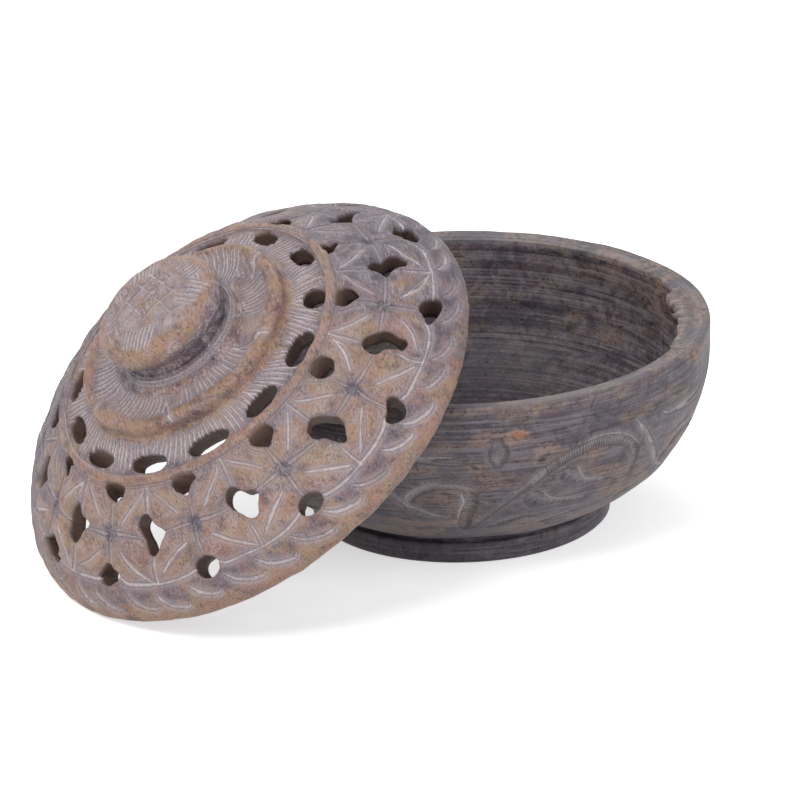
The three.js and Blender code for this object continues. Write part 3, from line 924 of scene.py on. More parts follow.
def knobStrokes(top, rng):
    # hatched corners and a lattice in the middle of the knob's crown
    out = []
    crown = int(np.argmax(top.r > 13.0))

    def flatLine(points, width, depth, dust, count=6):
        line = smooth(points, count)
        azimuth = np.arctan2(line[:, 1], line[:, 0])
        reach = np.hypot(line[:, 0], line[:, 1])
        s = np.interp(reach, top.r[:crown], top.s[:crown])
        centre = math.atan2(line[:, 1].mean(), line[:, 0].mean())
        radius = max(float(reach.mean()), 1.0)
        around = circleDistance(azimuth, centre) * radius
        return makeStroke(top, centre, s.mean(), np.stack([around, s - s.mean()], -1),
                          width, depth, dust, 0.25, radius=radius)

    # azimuth of each corner, its lines, their pitch, inner and outer ends and turn from radial
    for corner, lines, pitch, near, far, aside in (
            (211, 8, 0.9, 6.0, 11.6, 0), (308, 6, 1.12, 7.0, 12.3, -20), (137, 8, 0.9, 7.4, 11.8, 12),
            (352, 7, 0.85, 7.6, 11.6, 5), (60, 7, 0.9, 7.0, 11.6, -8)):
        a = turn(corner)
        outward = np.array([math.cos(a), math.sin(a)])
        a += turn(aside)
        along = np.array([math.cos(a), math.sin(a)])
        side = np.array([-along[1], along[0]])
        for j in range(lines):
            x = (j - (lines - 1) / 2) * pitch
            middle = outward * (near + far) / 2 + side * x
            half = (far - near) / 2 * (1 - 0.012 * x * x) * rng.uniform(0.85, 1.0)
            out.append(flatLine([middle - along * half, middle, middle + along * half],
                                0.7, 0.4, 1.05))
    for line in (((-2.4, 6.2), (-2.7, 3.0), (-3.4, -1.3)), ((1.9, 7.9), (1.2, 0.4), (0.1, -8.0)),
                 ((4.9, 7.0), (4.5, 2.4), (4.2, -3.2)), ((6.3, 3.1), (6.1, 1.0), (5.7, -1.4)),
                 ((-5.4, 4.4), (-1.0, 5.0), (6.0, 4.0)), ((-5.8, 1.0), (-0.6, 1.6), (6.8, 0.2)),
                 ((-4.6, -2.2), (0.0, -2.0), (5.0, -3.6)), ((-3.6, -8.6), (-0.4, -7.2), (3.6, -8.8))):
        out.append(flatLine(line, 0.72, 0.4, 0.8, 9))
    return out


def lidShape(top, s, skin, points, depth):
    # the soft forms under the cuts: lift along the normal and push from the axis
    azimuth, reach = skin["azimuth"], skin["s"]
    lift = -depth
    push = np.zeros(len(reach))
    lift += roughness(points, 6.0, 0.25, 1) + roughness(points, 2.2, 0.14, 2)
    # leaves overlap: each stands proud at its start and sinks towards the next
    neck = top.down(27.0)
    leafIn, leafOut = top.at(13.6, neck), top.at(22.9, neck)
    bandEnd = top.at(26.5, leafOut)
    ends = np.array(sorted(s["leafEnds"]))
    degrees = np.degrees(azimuth) % 360
    slot = (np.searchsorted(ends, degrees) - 1) % len(ends)
    span = (ends[(slot + 1) % len(ends)] - ends[slot]) % 360
    share = ((degrees - ends[slot]) % 360) / span
    saw = np.where(share < 0.02, share / 0.02, 1 - (share - 0.02) / 0.98)
    within = softStep((reach - leafIn) / 2.5) * (1 - softStep((reach - leafOut) / 0.6))
    lift += 0.9 * (saw - 0.5) * within
    notch = np.exp(-((np.minimum(share, 1 - share) * span * math.pi / 180 * 22.9) / 1.5) ** 2)
    belly = np.sin(share * math.pi)
    sway = softStep((reach - leafIn) / 7) * (1 - softStep((reach - leafOut - 1.0) / (bandEnd - leafOut)))
    push += (-0.5 * notch + 0.2 * belly - 0.1) * sway
    # petals swell a little between their cuts
    fieldIn, fieldOut = top.at(32.8, top.at(31.0)), top.at(s["outerVertex"])
    flower = (degrees - s["firstFlower"]) % (360 / s["flowers"]) * s["flowers"] / 360
    swell = np.abs(np.sin(2 * math.pi * flower)) * np.sin(
        np.clip((reach - fieldIn) / (fieldOut - fieldIn), 0, 1) * 2 * math.pi) ** 2
    lift += 0.35 * swell
    # the knob's crown is worn uneven, and its hatched corners are cut lower
    crown = softStep((13.2 - skin["s"]) / 2.5)
    lift += crown * (roughness(points, 3.6, 0.3, 7) + roughness(points, 1.5, 0.2, 11) - 0.1)
    return lift, push


def makeLid(s):
    top = Outline(lidTopOutline(s))
    under = Outline(lidUnderOutline(s))
    holes = lidHoles(top, s)
    strokes = lidStrokes(top, s)
    print("lid strokes", len(strokes))

    def spacing(reach):
        return s["ground"] if reach < top.length - 2.5 else 1.3

    skirts = []
    for hole in holes:
        # a ring just outside the hole, so that its worn edge can be rounded
        centre = hole["points"].mean(0)
        away = hole["points"] - centre
        away /= np.hypot(*away.T)[:, None]
        skirts.append({**hole, "points": hole["points"] + away * 0.45})
    creases = spacedCreases([c for c in top.corners[:-1] if 10.5 < float(top.radius(c)) < 33.0], 0.9, 0.2)
    skin = makeSkin(top, strokes, holes + skirts, spacing, s["rimPoints"], creases)
    print("lid skin", len(skin["s"]), len(skin["faces"]))
    inside = insideLoops(skin, skin["loops"][:len(holes)])
    faces = skin["faces"][~inside]
    depth, dust, haze = carve(skin, strokes)
    flatPlace = top.place(skin["azimuth"], skin["s"])
    lift, push = lidShape(top, s, skin, flatPlace, depth)
    rim = set(skin["rim"])
    rings = [ring for ring in boundaryRings(faces) if ring[0] not in rim]
    near = np.hypot(flatPlace[:, 0], flatPlace[:, 1])
    worn = 0.62 + roughness(flatPlace, 3.0, 1.1, 17)
    worn = worn * softStep((11.4 - near) / 2.0) * (flatPlace[:, 2] > 33)
    worn = np.maximum(worn, 0.6 * softStep((near - 14.5) / 1.5) * softStep((20.6 - near) / 1.2))
    haze = np.maximum(haze, worn * (flatPlace[:, 2] > 21))
    for ring in rings:
        lift[ring] -= 0.22
        haze[ring] = np.maximum(haze[ring], 0.5)
    fade = softStep((top.length - skin["s"]) / 1.5)
    points = top.place(skin["azimuth"], skin["s"], lift * fade, push)
    wall = np.zeros(len(points))
    print("lid holes", len(rings))

    # walls of the holes: each runs one way through the stone, off square by its row's tilt
    underR, underZ = under.r, under.z
    order = np.maximum.accumulate(underR)
    rng = random.Random(9)
    allPoints, allFaces = [points], [faces]
    dusts, hazes, walls = [dust], [haze], [wall]
    offset = len(points)
    underLoops = []
    middles = [(h["azimuth"] + h["middle"][0] / h["radius"], h["s"] + h["middle"][1]) for h in holes]
    centres = top.place(*np.array(middles).T)
    for ring in rings:
        edge = points[ring]
        nearest = int(np.hypot(*(centres - edge.mean(0)).T[:2]).argmin())
        azimuth, reach = middles[nearest]
        nr = np.interp(reach, top.s, top.normalR)
        nz = np.interp(reach, top.s, top.normalZ)
        radius = float(top.radius(reach))
        slope = math.atan2(nr, nz)
        slope += next(tilt for upTo, tilt in s["drillTilt"] if radius < upTo)
        slope += holes[nearest]["tilt"]
        nr, nz = math.sin(slope), math.cos(slope)
        inward = -np.array([nr * math.cos(azimuth), nr * math.sin(azimuth), nz])
        low, high = np.zeros(len(ring)), np.full(len(ring), drillReach)
        for _ in range(drillHalvings):
            t = (low + high) / 2
            p = edge + inward * t[:, None]
            floor = np.interp(np.hypot(p[:, 0], p[:, 1]), order, underZ)
            solid = p[:, 2] > floor
            low = np.where(solid, t, low)
            high = np.where(solid, high, t)
        reach = low
        centre = edge.mean(0)
        previous = np.array(ring)
        for step in range(1, wallSteps + 1):
            share = step / wallSteps
            p = edge + inward * (reach * share)[:, None]
            if step < wallSteps:
                axis = centre + inward * (reach.mean() * share)
                away = p - axis
                away -= np.outer(away @ inward, inward)
                wobble = np.array([0.05 * noise.noise(Vector(q) * 0.8) for q in p])
                p = p + away * wobble[:, None]
            ids = offset + np.arange(len(ring))
            allPoints.append(p)
            dusts.append(np.zeros(len(ring)))
            hazes.append(np.full(len(ring), 0.2 if step == 1 else 0.0))
            walls.append(np.ones(len(ring)))
            offset += len(ring)
            nextRing = np.roll(ids, -1)
            nextPrevious = np.roll(previous, -1)
            allFaces.append(np.stack([nextPrevious, previous, ids], -1))
            allFaces.append(np.stack([nextPrevious, ids, nextRing], -1))
            previous = ids
        azimuths = np.arctan2(p[:, 1], p[:, 0])
        centreAzimuth = math.atan2(p[:, 1].mean(), p[:, 0].mean())
        azimuths = centreAzimuth + circleDistance(azimuths, centreAzimuth)
        lengths = np.interp(np.hypot(p[:, 0], p[:, 1]), order, under.s)
        underLoops.append({"azimuth": centreAzimuth, "radius": 1.0, "s": 0.0, "ids": previous,
                           "points": np.stack([azimuths - centreAzimuth, lengths], -1)})
    below = makeSkin(under, [], underLoops, lambda reach: s["groundUnder"], s["rimPoints"])
    inside = insideLoops(below, below["loops"])
    belowFaces = below["faces"][~inside][:, ::-1]
    belowPoints = under.place(below["azimuth"], below["s"])
    turned = 0.05 * np.sin(below["s"] * 4.2) * (belowPoints[:, 2] > -1.5)
    turned = turned * softStep((under.length - 4 - below["s"]) / 2)
    belowPoints = under.place(below["azimuth"], below["s"], -turned)
    renumber = offset + np.arange(len(belowPoints))
    for loop, ids in zip(underLoops, below["loops"]):
        renumber[ids] = loop["ids"]
    renumber[below["rim"]] = skin["rim"]
    allFaces.append(renumber[belowFaces])
    allPoints.append(belowPoints)
    dusts.append(np.zeros(len(belowPoints)))
    hazes.append(np.full(len(belowPoints), 0.15))
    # painted shade: the underside takes the darker wall colour at 0.6
    walls.append(np.full(len(belowPoints), 0.6))
    return dropUnused(np.concatenate(allPoints), np.concatenate(allFaces),
                      {"dust": np.concatenate(dusts), "haze": np.concatenate(hazes),
                       "wall": np.concatenate(walls)})


def placeLid(points):
    # from the lid's own frame to where it leans, by the joint's turn and the frame's box
    lean = turn(frame["joints"][0]["range_deg"][1])
    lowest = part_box("lid")[0] / mm
    r, z = np.array(lidTopOutline(lidSettings)).T
    height = lowest.z + (r * math.sin(lean) - z * math.cos(lean)).max()
    across = lowest.x + (r * math.cos(lean) + z * math.sin(lean)).max()
    print(f"lid stands at {across:.2f}, {height:.2f}")
    x = across + points[:, 0] * math.cos(lean) - points[:, 2] * math.sin(lean)
    z = height + points[:, 0] * math.sin(lean) + points[:, 2] * math.cos(lean)
    return np.stack([x, points[:, 1], z], -1)


# The bowl

bowlSettings = {
    "radius": 50.4, "height": 40.9, "widest": 35.8, "footRadius": 29.9, "footHeight": 4.4,
    "footEdge": 0.5, "grooveDepth": 1.0, "grooveWidth": 0.7, "rimEdge": 0.5, "rimFace": 4.1,
    "rimDrop": 0.7, "floor": 7.0, "floorRadius": 20.0,
    "ground": 1.25, "groundInside": 1.3, "rimPoints": 420, "motifs": 5, "firstMotif": 222.0,
    # rough stone left inside the rim: degrees round, millimetres down, half width, half height, proud
    "rough": ((-19.5, 1.4, 4.0, 3.0, 2.3), (-28.0, 0.8, 5.0, 2.2, 1.9), (-38.0, 0.4, 6.0, 1.7, 1.6),
              (-48.0, 0.1, 6.0, 1.3, 1.0), (-20.5, 6.6, 3.2, 2.4, 0.6)),
    # a rust-red fleck: degrees round, height, half width, half height
    "fleck": (250.6, 34.8, 2.0, 0.95),
}


def bowlOutlines(s):
    groove = s["footRadius"] - s["grooveDepth"]
    start = s["footHeight"] + s["grooveWidth"]
    rise, reach = s["widest"] - start, s["radius"] - groove
    outer = s["radius"] - s["rimEdge"]
    inner = (outer - s["rimFace"], s["height"] - s["rimDrop"])
    points = [(0, 0), (s["footRadius"] - s["footEdge"], 0), (s["footRadius"], s["footEdge"]),
              (s["footRadius"], s["footHeight"] - 0.35), (s["footRadius"] - 0.35, s["footHeight"]),
              (groove, s["footHeight"] + 0.1), (groove, start)]
    points += bezier(points[-1], (groove + reach * 0.83, start + rise * 0.195),
                     (s["radius"], s["widest"] - rise * 0.24), (s["radius"], s["widest"]), 28)
    points += [(s["radius"], s["height"] - 0.55), (s["radius"] - 0.15, s["height"] - 0.18),
               (outer, s["height"]), inner]
    hollow = [(0, s["floor"]), (s["floorRadius"], s["floor"])]
    deep = inner[1] - s["floor"]
    hollow += bezier(hollow[-1], (s["floorRadius"] + 16.0, s["floor"]),
                     (inner[0], s["floor"] + deep * 0.33), inner, 30)
    return Outline(points), Outline(hollow)


# The vine, read off the photo as unrolled round the fitted bowl: millimetres round the bowl
# and down from the rim's inner edge
vineRadius = 50.0     # where those millimetres are counted
stem = [(16.4, 35.2), (19.6, 31.0), (23.6, 26.6), (27.4, 22.6), (30.8, 19.6)]
arch = [(28.0, 22.4), (31.0, 19.6), (35.8, 16.8), (42.0, 15.4), (48.2, 16.4), (52.4, 20.0), (53.2, 24.4)]
smallArch = [(1.2, 28.4), (3.0, 24.8), (7.6, 22.2), (12.6, 22.0), (16.4, 23.6)]
curl = [(14.3, 23.0), (15.4, 26.6), (14.2, 31.0), (13.9, 36.2)]
leafA = [(35.4, 20.6), (37.2, 22.6), (41.0, 24.8), (47.4, 25.7)]
leafB = [(27.8, 25.2), (30.6, 28.2), (35.6, 29.3), (43.8, 30.1)]
leafC = [(51.8, 13.0), (57.0, 19.2), (62.0, 25.6), (66.6, 29.2), (72.4, 31.8)]
leafD = [(59.8, 13.8), (62.6, 14.9), (69.0, 15.0), (75.2, 14.9)]
leafE = [(30.6, 37.2), (36.6, 35.3), (42.0, 33.8), (49.4, 33.6)]
leafF = [(20.8, 35.8), (25.0, 33.6), (29.0, 32.8), (31.8, 34.0)]


def hatchAlong(outline, origin, top, line, wide, shape, pitch, tilt, rng):
    # fine ribs across a band
    line = smooth(line, 60)
    pace = np.concatenate([[0], np.cumsum(np.hypot(*np.diff(line, axis=0).T))])
    out = []
    for reach in np.arange(pitch / 2, pace[-1] - pitch / 2, pitch):
        i = min(int(np.searchsorted(pace, reach)), len(line) - 2)
        ahead = line[i + 1] - line[i]
        ahead /= np.hypot(*ahead)
        across = np.array([-ahead[1], ahead[0]])
        half = wide / 2 * np.interp(reach / pace[-1], *np.array(shape).T) * rng.uniform(0.8, 0.95)
        if half < 0.4:
            continue
        a = line[i] - across * half + ahead * tilt
        b = line[i] + across * half - ahead * tilt
        out.append(bowlStroke(outline, origin, top, [a, (a + b) / 2, b], 0.4, 0.09, 0.76, 3, adds=True))
    return out


def bowlStroke(outline, origin, top, points, width, depth, dust, count=9, blunt=0.2, **more):
    # points are measured down from the rim, and the outline runs up to it
    line = smooth(points, count)
    azimuth = turn(origin) + line[:, 0] / vineRadius
    s = top - line[:, 1]
    centre = azimuth.mean()
    radius = float(outline.radius(s.mean()))
    path = np.stack([(azimuth - centre) * radius, s - s.mean()], -1)
    return makeStroke(outline, centre, s.mean(), path, width, depth, dust, blunt, **more)


# how the width of a carved band runs from its start to its end
evenBand = ((0, 0.45), (0.12, 0.85), (0.5, 1), (0.88, 0.85), (1, 0.4))
fadingBand = ((0, 0.3), (0.3, 0.5), (0.7, 0.9), (0.92, 1), (1, 0.5))
ovalBand = ((0, 0.6), (0.15, 0.9), (0.5, 1), (0.85, 0.9), (1, 0.6))
leafBand = ((0, 0.45), (0.12, 0.95), (0.3, 1), (0.48, 0.6), (0.62, 0.3), (0.9, 0.2), (1, 0.06))


def bowlStrokes(outline, s):
    out = []
    hatch = []
    top = outline.length
    rng = random.Random(12)
    for m in range(s["motifs"]):
        origin = s["firstMotif"] + 360 / s["motifs"] * m

        def band(line, wide, deep, dust, shape=evenBand, ribs=0.68, tilt=0.25, edge=None):
            out.append(bowlStroke(outline, origin, top, line, wide, deep, dust, 15, shape=shape, flat=2.4))
            if ribs:
                hatch.extend(hatchAlong(outline, origin, top, line, wide, shape, ribs, tilt, rng))
            if edge:
                # a crisp line along one side, from one share of the band to another
                side, start, end = edge
                path = smooth(line, 40)
                ahead = np.gradient(path, axis=0)
                across = np.stack([-ahead[:, 1], ahead[:, 0]], -1) / np.hypot(*ahead.T)[:, None]
                half = wide / 2 * np.interp(np.linspace(0, 1, 40), *np.array(shape).T)
                path = (path + across * (side * half)[:, None])[int(start * 39):int(end * 39) + 1]
                out.append(bowlStroke(outline, origin, top, path[::4], 0.7, 0.3, 1.1, 13, 0.2))

        band(stem, 2.6, 0.5, 0.55, fadingBand, 0.0)
        band(arch, 3.0, 0.62, 0.36, evenBand, 0.66, 0.3, (-1, 0.42, 0.86))
        band(smallArch, 1.9, 0.5, 0.6, evenBand, 0.7, 0.2, (-1, 0.1, 0.6))
        band(curl, 3.4, 0.72, 0.33, evenBand, 0.66, 0.0, (1, 0.05, 0.8))
        band(leafA, 4.6, 1.0, 0.4, leafBand, 0.66, 0.4, (-1, 0.1, 0.95))
        band(leafB, 4.8, 1.0, 0.4, leafBand, 0.66, 0.4, (-1, 0.1, 0.95))
        band(leafF, 2.2, 0.5, 0.4, leafBand, 0.7, 0.3)
        band(leafC, 1.6, 0.6, 1.1, evenBand, 0.0)
        band(leafD, 1.5, 0.45, 0.75, evenBand, 0.0)
        band(leafE, 1.5, 0.35, 0.55, leafBand, 0.8)
        band([(3.2, 15.6), (8.0, 16.2), (13.4, 16.6)], 1.2, 0.3, 0.6, evenBand, 0.0)
        band([(0.5, 20.4), (5.0, 19.8), (9.8, 19.2)], 1.2, 0.3, 0.6, evenBand, 0.0)
        # oval dimple
        dimple = [(20.6, 12.4), (20.9, 14.6), (20.6, 16.8)]
        out.append(bowlStroke(outline, origin, top, dimple, 5.0, 1.1, 0.52, 11, shape=ovalBand))
    return out + hatch


def makeBowl(s):
    outside, inside = bowlOutlines(s)
    strokes = bowlStrokes(outside, s)
    print("bowl strokes", len(strokes))
    creases = spacedCreases([c for c in outside.corners[:-1] if c < outside.at(s["footRadius"]) + 7
                             or c > outside.length - 6], 1.0, 0.12)
    outer = makeSkin(outside, strokes, [], lambda reach: 3.0 if reach < 28 else s["ground"],
                     s["rimPoints"], creases)
    inner = makeSkin(inside, [], [], lambda reach: s["groundInside"], s["rimPoints"])
    depth, dust, haze = carve(outer, strokes)
    flat = outside.place(outer["azimuth"], outer["s"])
    # this outline runs up the wall, so its normal points into the stone
    lift = depth + roughness(flat, 9.0, 0.2, 3) + roughness(flat, 2.4, 0.06, 4)
    fade = softStep((outer["s"] - 30) / 3)
    lift = lift * fade * softStep((outside.length - outer["s"]) / 1.5)
    points = outside.place(outer["azimuth"], outer["s"], lift)
    rings = 0.05 * np.sin(inner["s"] * 3.1 + 1.7 * np.sin(inner["s"] * 0.8))
    hollow = inside.place(inner["azimuth"], inner["s"], rings * softStep((inside.length - inner["s"]) / 1.2))
    renumber = len(points) + np.arange(len(hollow))
    renumber[inner["rim"]] = outer["rim"]
    faces = np.concatenate([outer["faces"][:, ::-1], renumber[inner["faces"]]])
    points = np.concatenate([points, hollow])
    dust = np.concatenate([dust, np.zeros(len(hollow))])
    # the rim's outer edge is rubbed pale
    haze = np.maximum(haze, 0.7 * np.exp(-((outer["s"] - outside.length + s["rimFace"] + 0.3) / 0.3) ** 2))
    haze = np.concatenate([haze, np.zeros(len(hollow))])
    # rough stone stands proud of the wall below the rim
    edge = s["radius"] - s["rimEdge"] - s["rimFace"]
    azimuth = np.arctan2(points[:, 1], points[:, 0])
    radius = np.hypot(points[:, 0], points[:, 1])
    ragged = 1 + roughness(points, 1.8, 0.5, 14)
    mottled = np.clip(0.6 + roughness(points, 1.5, 1.4, 33), 0.05, 1)
    inward = np.stack([-np.cos(azimuth), -np.sin(azimuth), 0 * azimuth], -1)
    for place, down, wide, tall, proud in s["rough"]:
        aside = circleDistance(azimuth, turn(place)) * edge
        away = np.sqrt((aside / wide) ** 2 + ((s["height"] - s["rimDrop"] - points[:, 2] - down) / tall) ** 2
                       + ((radius - edge) / 1.6) ** 2) * ragged
        left = softStep((1.25 - away) / 0.8) * (radius > 30) * (radius < edge + 2.6)
        haze = np.maximum(haze, left * mottled)
        dust = np.maximum(dust, 0.56 * softStep(left * 1.6) * mottled)
        points = points + inward * (proud * left)[:, None]
    hollowMask = np.concatenate([np.zeros(len(outer["s"])), softStep((inside.length - inner["s"]) / 1.2)])
    return dropUnused(points, faces, {"dust": dust, "haze": haze, "hollow": hollowMask})


# Soapstone

def cloudy(tree, where, size, detail=3.0, warp=0.0, roughness=0.55):
    # noise whose blotches are about size millimetres across
    return addNode(tree, "ShaderNodeTexNoise", links={"Vector": where},
                   values={"Scale": 1.0 / size, "Detail": detail, "Distortion": warp,
                           "Roughness": roughness}).outputs[0]


def makeSoapstone(name, s):
    material = bpy.data.materials.new(name)
    material.use_nodes = True
    tree = material.node_tree
    tree.nodes.clear()
    place = addNode(tree, "ShaderNodeTexCoord").outputs["Object"]
    millimetres = addNode(tree, "ShaderNodeVectorMath", {"operation": "SCALE"}, {0: place},
                          {"Scale": 1.0 / mm}).outputs[0]

    def stretched(key):
        # turned first, and then drawn out, so that the long way can run anywhere
        turns, size = s[key]
        return addNode(tree, "ShaderNodeMapping", {"vector_type": "TEXTURE"}, {0: millimetres},
                       {"Rotation": [turn(v) for v in turns], "Scale": size}).outputs[0]

    def carried(key):
        return addNode(tree, "ShaderNodeAttribute", {"attribute_name": key}).outputs["Fac"]

    def times(a, b):
        return combine(tree, "MULTIPLY", a, b)

    def plus(a, b):
        return combine(tree, "ADD", a, b)

    def lathe():
        # rings of the lathe: alike wherever height and distance from the axis are alike
        across = addNode(tree, "ShaderNodeVectorMath", {"operation": "MULTIPLY"}, {0: millimetres},
                         {1: (1.0, 1.0, 0.0)}).outputs[0]
        radius = addNode(tree, "ShaderNodeVectorMath", {"operation": "LENGTH"}, {0: across}).outputs["Value"]
        split = addNode(tree, "ShaderNodeSeparateXYZ", links={0: millimetres}).outputs
        drift = times(plus(split[0], split[1]), 0.045)
        return addNode(tree, "ShaderNodeCombineXYZ", links={0: radius, 1: drift, 2: split[2]}).outputs[0]

    # warm and cool tones lie in patches, and the carried tints move the line between them
    bed = stretched("bed")
    broad = cloudy(tree, bed, s["broadSize"], 4.0, 0.8, 0.5)
    small = cloudy(tree, bed, s["patchSize"], 3.0, 0.5, 0.5)
    lean = plus(times(broad, 0.55), times(small, 0.45))
    lean = plus(lean, times(carried("warm"), 0.16))
    # the carried cloud tint also holds painted shade: under the knob, at the bowl's foot and in its hollow
    lean = plus(lean, times(carried("cloudAndShade"), -0.25))
    turns = s["turnsWarm"]
    tone = mixColour(tree, span(tree, lean, turns - 0.07, turns + 0.07), s["cool"], s["tan"])
    tone = mixColour(tree, span(tree, lean, turns + 0.06, turns + 0.2, 0.0, 0.8), tone, s["warm"])
    hue = cloudy(tree, bed, s["hueSize"], 3.0, 0.6, 0.55)
    tone = mixColour(tree, span(tree, hue, 0.52, 0.64, 0.0, s["hueShare"]), tone, s["ochre"])
    tone = mixColour(tree, span(tree, hue, 0.36, 0.48, s["hueShare"], 0.0), tone, s["rose"])
    tone = mixColour(tree, span(tree, lean, turns - 0.22, turns - 0.08, 0.85, 0.0), tone, s["cloudAndShade"])
    # dark blotches, pits and grain
    blotch = cloudy(tree, bed, s["blotchSize"], 4.0, 0.6, 0.65)
    tone = mixColour(tree, span(tree, blotch, 0.53, 0.66, 0.0, s["blotchShare"]), tone, s["dark"])
    grain = cloudy(tree, millimetres, 0.7, 3.0)
    tone = mixColour(tree, span(tree, grain, 0.5, 0.68, 0.0, s["grainShare"]), tone, s["dark"])
    spots = cloudy(tree, millimetres, 1.4, 3.0, 0.3, 0.6)
    tone = mixColour(tree, span(tree, spots, 0.63, 0.69, 0.0, s["spotShare"]), tone, s["dark"])
    pits = addNode(tree, "ShaderNodeTexVoronoi", links={"Vector": millimetres},
                   values={"Scale": 0.42, "Randomness": 1.0}).outputs["Distance"]
    tone = mixColour(tree, span(tree, pits, 0.08, 0.16, 0.55, 0.0), tone, s["dark"])
    # walls of the openings, and painted shade on the parts out of the light
    tone = mixColour(tree, times(carried("wall"), s["wallShare"]), tone, s["wall"])
    # marks of the file or the lathe
    marks = lathe() if s["turned"] else stretched("marks")
    scratches = cloudy(tree, marks, s["markSize"], 3.0, 0.0, 0.6)
    tone = mixColour(tree, span(tree, scratches, 0.38, 0.5, s["markShare"], 0.0), tone, s["dark"])
    # pale powder: rubbed thin over the stone, thicker beside the cuts and thick in them
    powder = cloudy(tree, millimetres, 0.3, 2.0, 0.0, 0.6)
    rubbed = cloudy(tree, millimetres, 3.2, 4.0, 0.6, 0.6)
    exposed = combine(tree, "SUBTRACT", 1.0, carried("wall"))
    streaked = plus(times(scratches, 0.65), times(powder, 0.35))
    film = times(times(span(tree, rubbed, 0.4, 0.62), span(tree, streaked, 0.36, 0.66)), s["film"])
    film = times(film, carried("powder"))
    film = combine(tree, "MAXIMUM", film, span(tree, scratches, 0.52, 0.66, 0.0, s["markShare"]))
    near = times(carried("haze"), span(tree, powder, 0.34, 0.6, 0.35, 1.0))
    film = times(combine(tree, "MAXIMUM", film, times(near, s["hazeShare"])), exposed)
    tone = mixColour(tree, film, tone, s["haze"])
    # painted shade: a dark rim at the sides of each cut, where its dust thins out
    edge = times(span(tree, carried("dust"), 0.01, 0.12), span(tree, carried("dust"), 0.2, 0.5, 1.0, 0.0))
    tone = mixColour(tree, times(edge, s["cutShadeShare"]), tone, s["dark"])
    full = times(span(tree, carried("dust"), 0.36, 0.86), span(tree, powder, 0.3, 0.56, 0.45, 1.0))
    full = times(full, span(tree, rubbed, 0.38, 0.54, 0.4, 1.0))
    tone = mixColour(tree, times(full, s["dustShare"]), tone, s["dust"])

    if "fleck" in s:
        ragged = plus(carried("warm"), times(cloudy(tree, bed, 1.1, 4.0, 0.8, 0.7), 9.0))
        tone = mixColour(tree, span(tree, ragged, 6.2, 6.9), tone, s["fleck"])
    # relief too fine for the mesh: marks, grain and pits, in millimetres
    height = times(scratches, s["markDepth"])
    height = plus(height, times(grain, 0.1))
    height = plus(height, span(tree, pits, 0.06, 0.17, 0.0, 0.12))
    height = plus(height, times(rubbed, 0.22))
    bump = addNode(tree, "ShaderNodeBump", links={"Height": height},
                   values={"Strength": s["relief"], "Distance": mm})
    shine = plus(span(tree, broad, 0.3, 0.7, s["polish"], s["polish"] + 0.12), times(film, 0.3))
    stone = addNode(tree, "ShaderNodeBsdfPrincipled",
                    links={"Base Color": tone, "Roughness": shine, "Normal": bump.outputs[0]},
                    values={"Specular IOR Level": s["specular"]})
    addNode(tree, "ShaderNodeOutputMaterial", links={"Surface": stone.outputs[0]})
    return material


# tan and rust-brown soapstone with mauve clouds, waxed by handling, powdery in its cuts
lidStone = makeSoapstone("soapstone, tan and mauve", {
    "tan": "#8b6d5d", "warm": "#a07d66", "cool": "#695b62", "cloudAndShade": "#433e49", "dark": "#43353f",
    "turnsWarm": 0.475, "blotchSize": 4.2, "blotchShare": 0.6, "grainShare": 0.12, "cutShadeShare": 0.35,
    "spotShare": 0.7, "hueSize": 6.0, "hueShare": 0.42, "ochre": "#93805c", "rose": "#8d6560",
    "wall": "#5e4a3f", "wallShare": 0.85,
    "haze": "#aba0a5", "hazeShare": 0.85, "film": 0.75, "dust": "#c9c0c2", "dustShare": 0.9,
    "broadSize": 11.0, "patchSize": 3.4, "bed": ((0, 37, 20), (1.0, 1.0, 0.7)), "turned": False,
    "marks": ((15, 0, -21), (0.4, 6.0, 0.4)), "markSize": 0.9, "markShare": 0.36, "markDepth": 0.12,
    "relief": 0.9, "polish": 0.5, "specular": 0.42,
})
# grey-brown soapstone, bedded level, turned and not waxed; its cloud tone carries painted shade at the foot
# and in the hollow
bowlStone = makeSoapstone("soapstone, banded grey", {
    "tan": "#7b665d", "warm": "#94755f", "cool": "#50454f", "cloudAndShade": "#454049", "dark": "#2b252e",
    "turnsWarm": 0.5, "blotchSize": 6.0, "blotchShare": 1.0, "grainShare": 0.8, "cutShadeShare": 0.5,
    "spotShare": 0.75, "hueSize": 9.0, "hueShare": 0.3, "ochre": "#7d6a50", "rose": "#6f5558",
    "wall": "#6c625f", "wallShare": 0.0, "fleck": "#94604c",
    "haze": "#918a8c", "hazeShare": 0.85, "film": 0.55, "dust": "#aaa3a4", "dustShare": 0.9,
    "broadSize": 18.0, "patchSize": 6.0, "bed": ((3, -4, 0), (1.0, 1.0, 0.5)), "turned": True,
    "markSize": 0.6, "markShare": 0.42, "markDepth": 0.12,
    "relief": 0.8, "polish": 0.46, "specular": 0.42,
})


